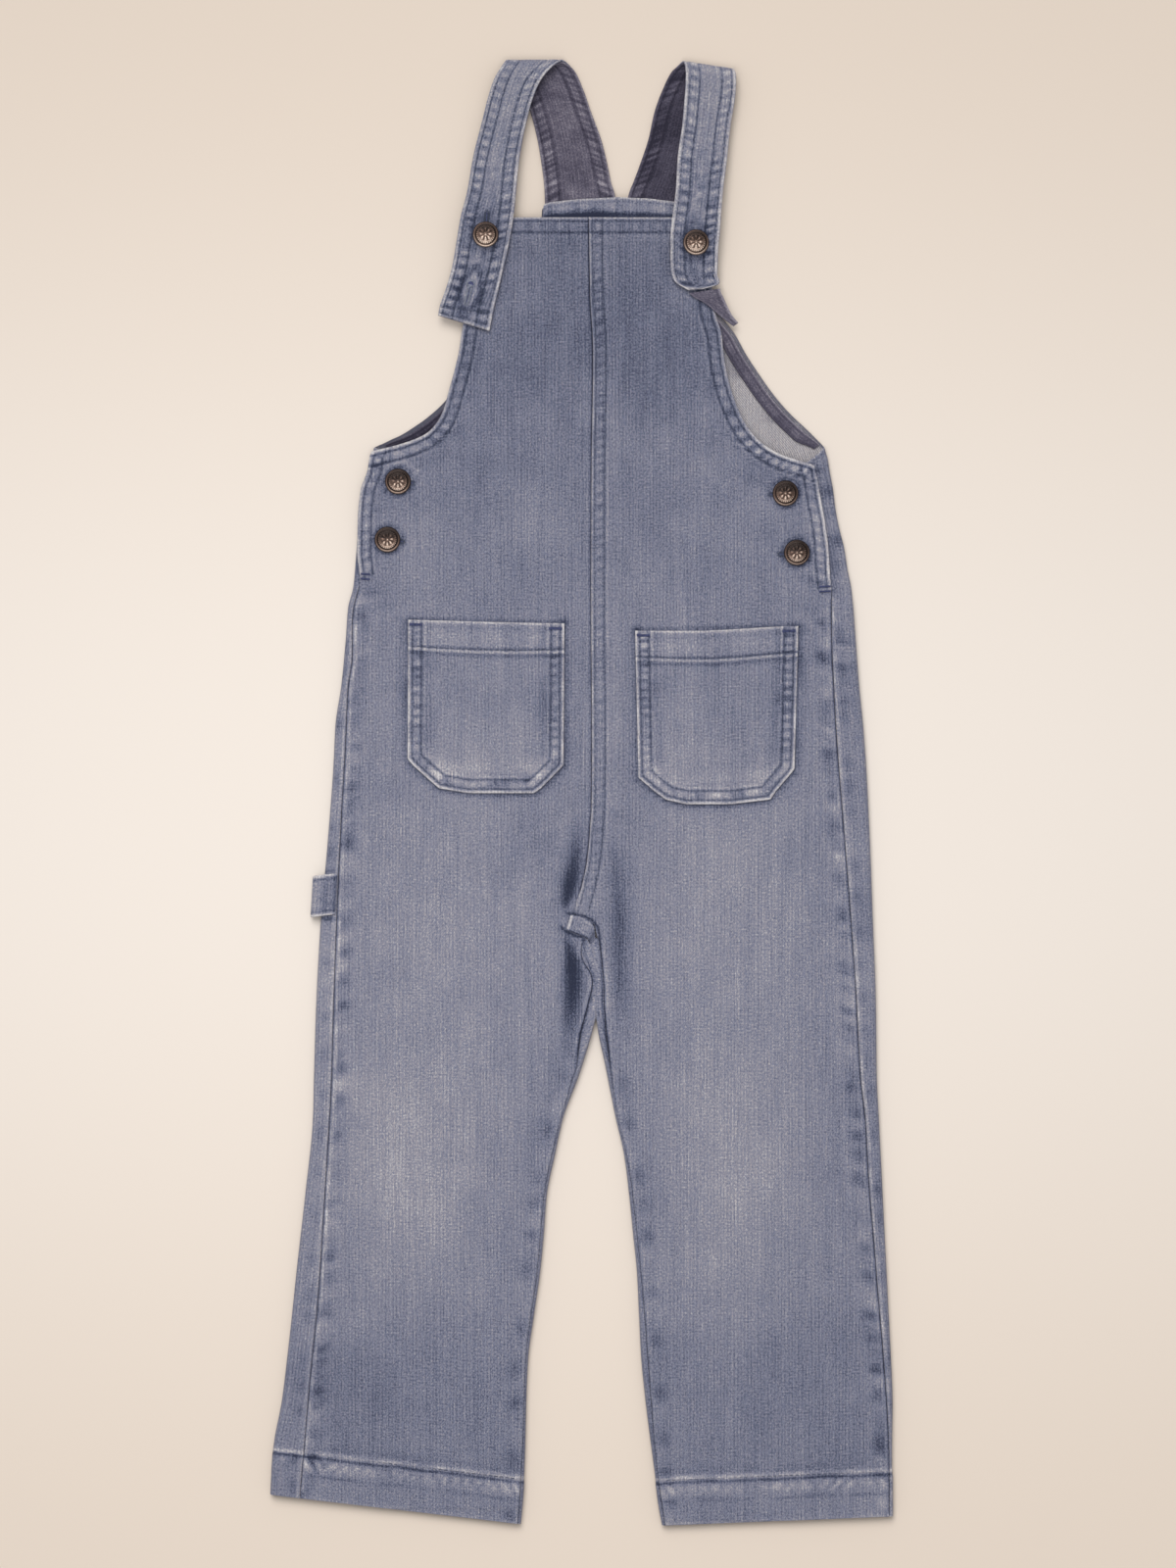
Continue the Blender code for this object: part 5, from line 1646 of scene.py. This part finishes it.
def stitchMesh(name, store, material, surface=ownHeight, high=stitchLook["height"]):
    data = np.array(store, float)
    a, b = data[:, 0:2], data[:, 2:4]
    direction = unit(b - a)
    cross = np.stack([-direction[:, 1], direction[:, 0]], axis=1)
    half = data[:, 6:7] / 2 * perMm
    za, zb = (
        np.where(np.isnan(data[:, k]), surface(end[:, 0], end[:, 1]), data[:, k])
        for k, end in ((4, a), (5, b))
    )
    sunk, top = stitchLook["lift"] - 0.1, stitchLook["lift"] + high
    # pointed ends and two cross sections, as share of the length, side and height
    corners = [(0, 0, -0.1), (1, 0, -0.1)]
    corners += [(share, side, up) for share in (0.2, 0.8) for side, up in ((-1, sunk), (0, top), (1, sunk))]
    points = []
    for share, side, up in corners:
        flat = a * (1 - share) + b * share + cross * side * half
        points.append(np.concatenate([flat, (za * (1 - share) + zb * share + up)[:, None]], axis=1))
    points = np.stack(points, axis=1).reshape(-1, 3)
    base = np.arange(len(data))[:, None] * len(corners)
    triangles = np.concatenate([base + t for t in ([0, 3, 2], [0, 4, 3], [1, 5, 6], [1, 6, 7])])
    quads = np.concatenate([base + q for q in ([2, 3, 6, 5], [3, 4, 7, 6])])
    place = points * (gridStep, gridStep, 1)
    piece = makePiece(name, points, [triangles, quads], np.full(len(points), 0.5), place, [material])
    dress(piece, None)


def stitchFront(side):
    def surface(x, y):
        return frontTop(side, x, y) + frontRelief(side, x, y)[0]

    def inward(name, distance):
        # the edge lines run down the legs
        return offsetLine(side.lines[name], -side.sign * distance)

    store = []
    for distance in (4.5, 14.5):
        addStitches(store, inward("armhole", distance)[2:-4])
        addStitches(store, inward("placket", distance * 0.95)[2:])
    for fromTop in (3.6, 15.2):
        addStitches(store, [(x, bibTop + fromTop) for x in side.bibEnds])
    if side is right:
        for distance in (3.3, 13.5):
            addStitches(store, inward("centre", -distance)[1:-1])
    y = side.hemRow - frontLook["hemDepth"] - 1.8
    x = np.linspace(follow(side.edge, y) + side.sign, follow(side.inner, y) - side.sign, 12)
    addStitches(store, np.stack([x, y + side.lean(x, y)], axis=1))
    stitchMesh("stitches_front_" + side.word, store, blueThread, surface)


def stitchPocket(side):
    outline = pocketOutline(side.pocket)
    top, low, high = side.pocket[0]

    def surface(x, y):
        away, along = nearLine(outline, x, y)
        height, _ = stitchedBand(away, along, side.seed + 40, **pocketLook["band"])
        height += pocketLook["hemRaise"] * pocketHem(y - top)
        return frontTop(side, x, y) + pocketLook["lift"] + height

    store = []
    line, middle = resample(outline, 2.0), outline.mean(axis=0)
    for distance in (4.2, 13.8):
        moved = offsetLine(line, -distance)
        if np.abs(moved - middle).sum() > np.abs(line - middle).sum():
            moved = offsetLine(line, distance)
        moved = moved[awayFrom(outline, moved[:, 0], moved[:, 1]) > distance - 0.6]
        moved[:, 1] += pocketSag(side, moved[:, 0], moved[:, 1])
        addStitches(store, moved[2:-2])
    x = np.linspace(low + 3, high - 3, 30)
    y = top + 26.5 + 0 * x
    addStitches(store, np.stack([x, y + pocketSag(side, x, y)], axis=1))
    stitchMesh("stitches_pocket_" + side.word, store, blueThread, surface)


def stitchStrap(strap):
    grid, _, part, _ = stripGrid(strap["rows"])
    width, store = part[:, -1], []
    first, share = strap["stitched"]
    for fromEdge in (4.4, 14.6):
        near = np.clip(fromEdge / width, 0, 0.5)[:, None]
        for t in (near, 1 - near):
            line = grid[:, 0] * (1 - t) + grid[:, -1] * t
            addStitches(store, line[first:int(len(grid) * share)])
    if not strap["tail"]:
        for fromEnd in (3, 9):
            addStitches(store, grid[fromEnd][3:-3])
    stitchMesh("stitches_strap_" + strap["word"], store, blueThread)


for side, strap in ((left, leftStrap), (right, rightStrap)):
    stitchFront(side)
    stitchPocket(side)
    stitchStrap(strap)
print("stitches made")

# Bartacks and buttonholes

tackLook = {
    "pitch": 0.75,
    "thread": 0.45,
    "high": 0.25,
    "onPocket": pocketLook["lift"] + 0.75,
    "onFront": 0.5,
}
# side, x, y, width and depth in grid steps, turn in degrees, cloth it lies on
tacks = [
    (left, 425, 637.5, 14, 3.4, 1, "onPocket"),
    (left, 567.5, 641.5, 14, 3.4, 1, "onPocket"),
    (right, 657, 648.6, 14, 3.4, 2, "onPocket"),
    (right, 805.5, 644, 14, 3.4, -2, "onPocket"),
    (left, 373.5, 586, 10, 2.4, 4, "onFront"),
    (left, 373.5, 591, 10, 2.4, 4, "onFront"),
    (right, 842, 598.6, 12, 2.4, -3, "onFront"),
    (right, 842, 603.6, 12, 2.4, -3, "onFront"),
]


def buildTacks():
    store, pitch = [], tackLook["pitch"]
    for side, x, y, width, depth, turn, lies in tacks:
        z = frontTop(side, np.array([x], float), np.array([y], float))[0] + tackLook[lies]
        cosine, sine = math.cos(math.radians(turn)), math.sin(math.radians(turn))
        up = np.array([-sine, cosine]) * depth / 2
        for k in range(int(width / pitch)):
            middle = np.array([x, y]) + np.array([cosine, sine]) * (k * pitch - width / 2)
            store.append((*(middle - up), *(middle + up), z, z, tackLook["thread"]))
    stitchMesh("bartacks", store, indigoThreadAndSlitShade, high=tackLook["high"])


buildTacks()

holeLook = {"eye": 1.7, "slit": 0.28, "pitch": 0.72, "thread": 0.42, "high": 0.28, "inside": 0.12}


def buildHoles():
    eye, slit = holeLook["eye"], holeLook["slit"]
    eyePoints, slitPoints = 22, 16
    holes = [tuple(others) + (False,) for name, place, z, turn, *others in buttons]
    places = [place for name, place, *others in buttons] + [spareHole["place"]]
    holes.append((spareHole["direction"], spareHole["length"], spareHole["height"], True))
    blue, pale, points, faces = [], [], [], []
    for centre, (direction, length, z, spare) in zip(places, holes):
        direction = np.array(direction, float) / np.hypot(*direction)
        cross = np.array([-direction[1], direction[0]])
        opening = math.asin(slit / eye)
        turns = np.linspace(opening, 2 * math.pi - opening, eyePoints)
        along = np.concatenate([np.cos(turns) * eye, np.linspace(eye, length, slitPoints)])
        along = np.concatenate([along, np.linspace(length, eye, slitPoints)])
        sideways = np.concatenate([np.sin(turns) * eye, np.repeat([-slit, slit], slitPoints)])
        loop = (along[:, None] * direction + sideways[:, None] * cross) * perMm
        # thread worked over the edge, square to it
        fine = resample(loop, holeLook["pitch"])
        middle = fine.mean(axis=0)
        tangent = unit(np.gradient(fine, axis=0))
        outwards = np.stack([tangent[:, 1], -tangent[:, 0]], axis=1)
        reach, probe = (np.linalg.norm(p - middle, axis=1) for p in (fine, fine + outwards * 0.5))
        outwards[probe < reach] *= -1
        for start, end in zip(centre + fine - outwards * 0.3, centre + fine + outwards * 2.6):
            (pale if spare else blue).append((*start, *end, z + 0.08, z + 0.02, holeLook["thread"]))
        # painted shade inside the slit: a dark fan in the eye and a strip behind it
        base, count = len(points), len(loop)
        points += [(*(centre + p), z + 0.04) for p in loop * 0.96] + [(*centre, z + 0.04)]
        index = np.arange(count) + base
        there, home = index[eyePoints:eyePoints + slitPoints], index[::-1][:slitPoints]
        hub = np.full(eyePoints, base + count)
        faces.append(np.stack([index[:eyePoints], index[1:eyePoints + 1], hub], axis=1))
        faces.append(np.stack([there[:-1], there[1:], home[1:]], axis=1))
        faces.append(np.stack([there[:-1], home[1:], home[:-1]], axis=1))
    stitchMesh("buttonhole_thread", blue, blueThread, high=holeLook["high"])
    stitchMesh("spare_buttonhole_thread", pale, paleThread, high=holeLook["high"])
    points, tone = np.array(points), np.full(len(points), holeLook["inside"])
    place = points * (gridStep, gridStep, 1)
    dress(makePiece("buttonhole_slit_shade", points, faces, tone, place, [indigoThreadAndSlitShade]), None)


buildHoles()
print("bartacks and buttonholes made")

# Buttons

buttonLook = {
    "rim": [  # radius and height in mm, from the face over the edge down to the shank
        (6.2, 1.75), (6.45, 1.82), (6.7, 1.8), (6.95, 1.66), (7.15, 1.42), (7.32, 1.05), (7.4, 0.62),
        (7.3, 0.28), (7.05, 0.1), (5.0, 0.02), (2.0, 0.02), (2.0, -1.4),
    ],
    "faceRings": 25,
    "turns": 96,
    "beads": 28,
    "petals": 8,
    "relief": 0.22,
    "tone": 0.1,
    "strapTone": 0.14,
}


def buildButton(name, place, base, turn):
    rimRadii, rimHeights = np.array(buttonLook["rim"]).T
    faceRings = buttonLook["faceRings"]
    radii = np.concatenate([np.linspace(0.05, 6.0, faceRings), rimRadii])
    dome = 1.25 + 1.15 * np.sqrt(1 - (radii[:faceRings] / 7.6) ** 2)
    heights = np.concatenate([dome, rimHeights])
    angle = np.linspace(0, 2 * math.pi, buttonLook["turns"], endpoint=False) + turn
    r, a = np.meshgrid(radii, angle, indexing="ij")
    ring = np.arange(len(radii))[:, None]
    # a ring of beads round a rosette of rays
    beads = bump(r, 5.0, 0.42) * (0.5 + 0.5 * np.cos(a * buttonLook["beads"]))
    petals = (0.5 + 0.5 * np.cos(a * buttonLook["petals"])) * bump(r, 2.6, 1.1) + bump(r, 0, 0.8)
    relief = beads + 1.1 * petals + profile([(0.6, 4.2, 0.18), (-0.9, 5.75, 0.28)], r)
    relief = relief * (ring <= faceRings)
    z = base + heights[:, None] + buttonLook["relief"] * relief
    # worn copper brighter on the raised relief, with painted light making it brighter on one side
    tone = buttonLook["tone"] + 0.8 * np.clip(relief, -0.4, 1) * (0.65 + 0.35 * np.sin(a + 0.4))
    tone += 0.32 * bump(r, 6.7, 0.5) * (ring >= faceRings) - 0.2 * (ring > faceRings + 6)
    # painted light: the face brighter on one side, darker on the other
    tone += 0.3 * np.cos(a - 1.7) * bump(r, 5.5, 3.5) + (buttonLook["strapTone"] if "strap" in name else 0)
    x, y = place[0] + r * perMm * np.cos(a), place[1] + r * perMm * np.sin(a)
    points = np.stack([x, y, z], axis=2).reshape(-1, 3)
    rows, count = r.shape
    index = np.arange(rows * count).reshape(rows, count)
    following = np.roll(index, -1, axis=1)
    quads = np.stack([index[:-1], following[:-1], following[1:], index[1:]], axis=-1).reshape(-1, 4)
    cap, end = (
        np.stack([edge[1:-1], edge[2:], np.full(count - 2, edge[0])], axis=1)
        for edge in (index[0], index[-1])
    )
    flatPlace = points * (gridStep, gridStep, 1)
    dress(makePiece(name, points, [quads, cap[:, ::-1], end], tone, flatPlace, [copper]), name)


for button in buttons:
    buildButton(*button[:4])
print("buttons made")

# Floor, light and camera

floorLook = {"size": 6, "under": 0.0004, "middle": srgb(242, 232, 222), "ends": srgb(233, 218, 203)}


def floorMaterial():
    # painted light falloff: paler at the middle of its length, darker towards both ends
    material, tree, shader = nodeTree("cream board")
    coordinates = tree.nodes.new("ShaderNodeTexCoord")
    away = mathNode(tree, "ABSOLUTE", splitPlace(tree, coordinates.outputs["Object"])[1])
    colour = colourRamp(tree, away, [(0.02, floorLook["middle"]), (0.48, floorLook["ends"])], "EASE")
    finishShader(tree, shader, colour, {"Roughness": 0.8, "Specular IOR Level": 0.1})
    return material


bpy.ops.mesh.primitive_plane_add(size=floorLook["size"], location=(0, 0, -floorLook["under"]))
floor = bpy.context.object
floor.name = "floor"
floor.data.materials.append(floorMaterial())

world = bpy.data.worlds.new("soft studio")
bpy.context.scene.world = world
world.use_nodes = True
background = world.node_tree.nodes["Background"]
background.inputs[0].default_value = look["worldColour"] + (1,)
background.inputs[1].default_value = look["worldStrength"]


def addLight(kind, name, place, turn, energy, size, colour):
    light = bpy.data.lights.new(name, kind)
    light.energy = energy
    light.color = colour
    if kind == "SUN":
        light.angle = math.radians(size)
    else:
        light.shape = "DISK"
        light.size = size
    lamp = bpy.data.objects.new(name, light)
    lamp.location = place
    lamp.rotation_euler = (math.radians(turn[0]), math.radians(turn[1]), 0)
    bpy.context.collection.objects.link(lamp)


sunPlace = (0, 0.5, 1)
addLight("SUN", "window", sunPlace, look["sunTurn"], look["sunStrength"], look["sunAngle"], look["sunColour"])
addLight("AREA", "glow", look["glowPlace"], (0, 0), look["glowPower"], look["glowSize"], look["glowColour"])

camera = bpy.data.cameras.new("camera")
camera.sensor_fit = "HORIZONTAL"
camera.sensor_width = look["sensor"]
camera.lens = look["sensor"] * look["cameraHeight"] / look["frameWidth"]
viewer = bpy.data.objects.new("camera", camera)
aim = toMetres(np.array([*look["cameraAim"], 0.0]))
viewer.location = (aim[0], aim[1], look["cameraHeight"] + 0.005)
bpy.context.collection.objects.link(viewer)
bpy.context.scene.camera = viewer
bpy.context.scene.view_settings.view_transform = look["view"]
print("floor, light and camera made")
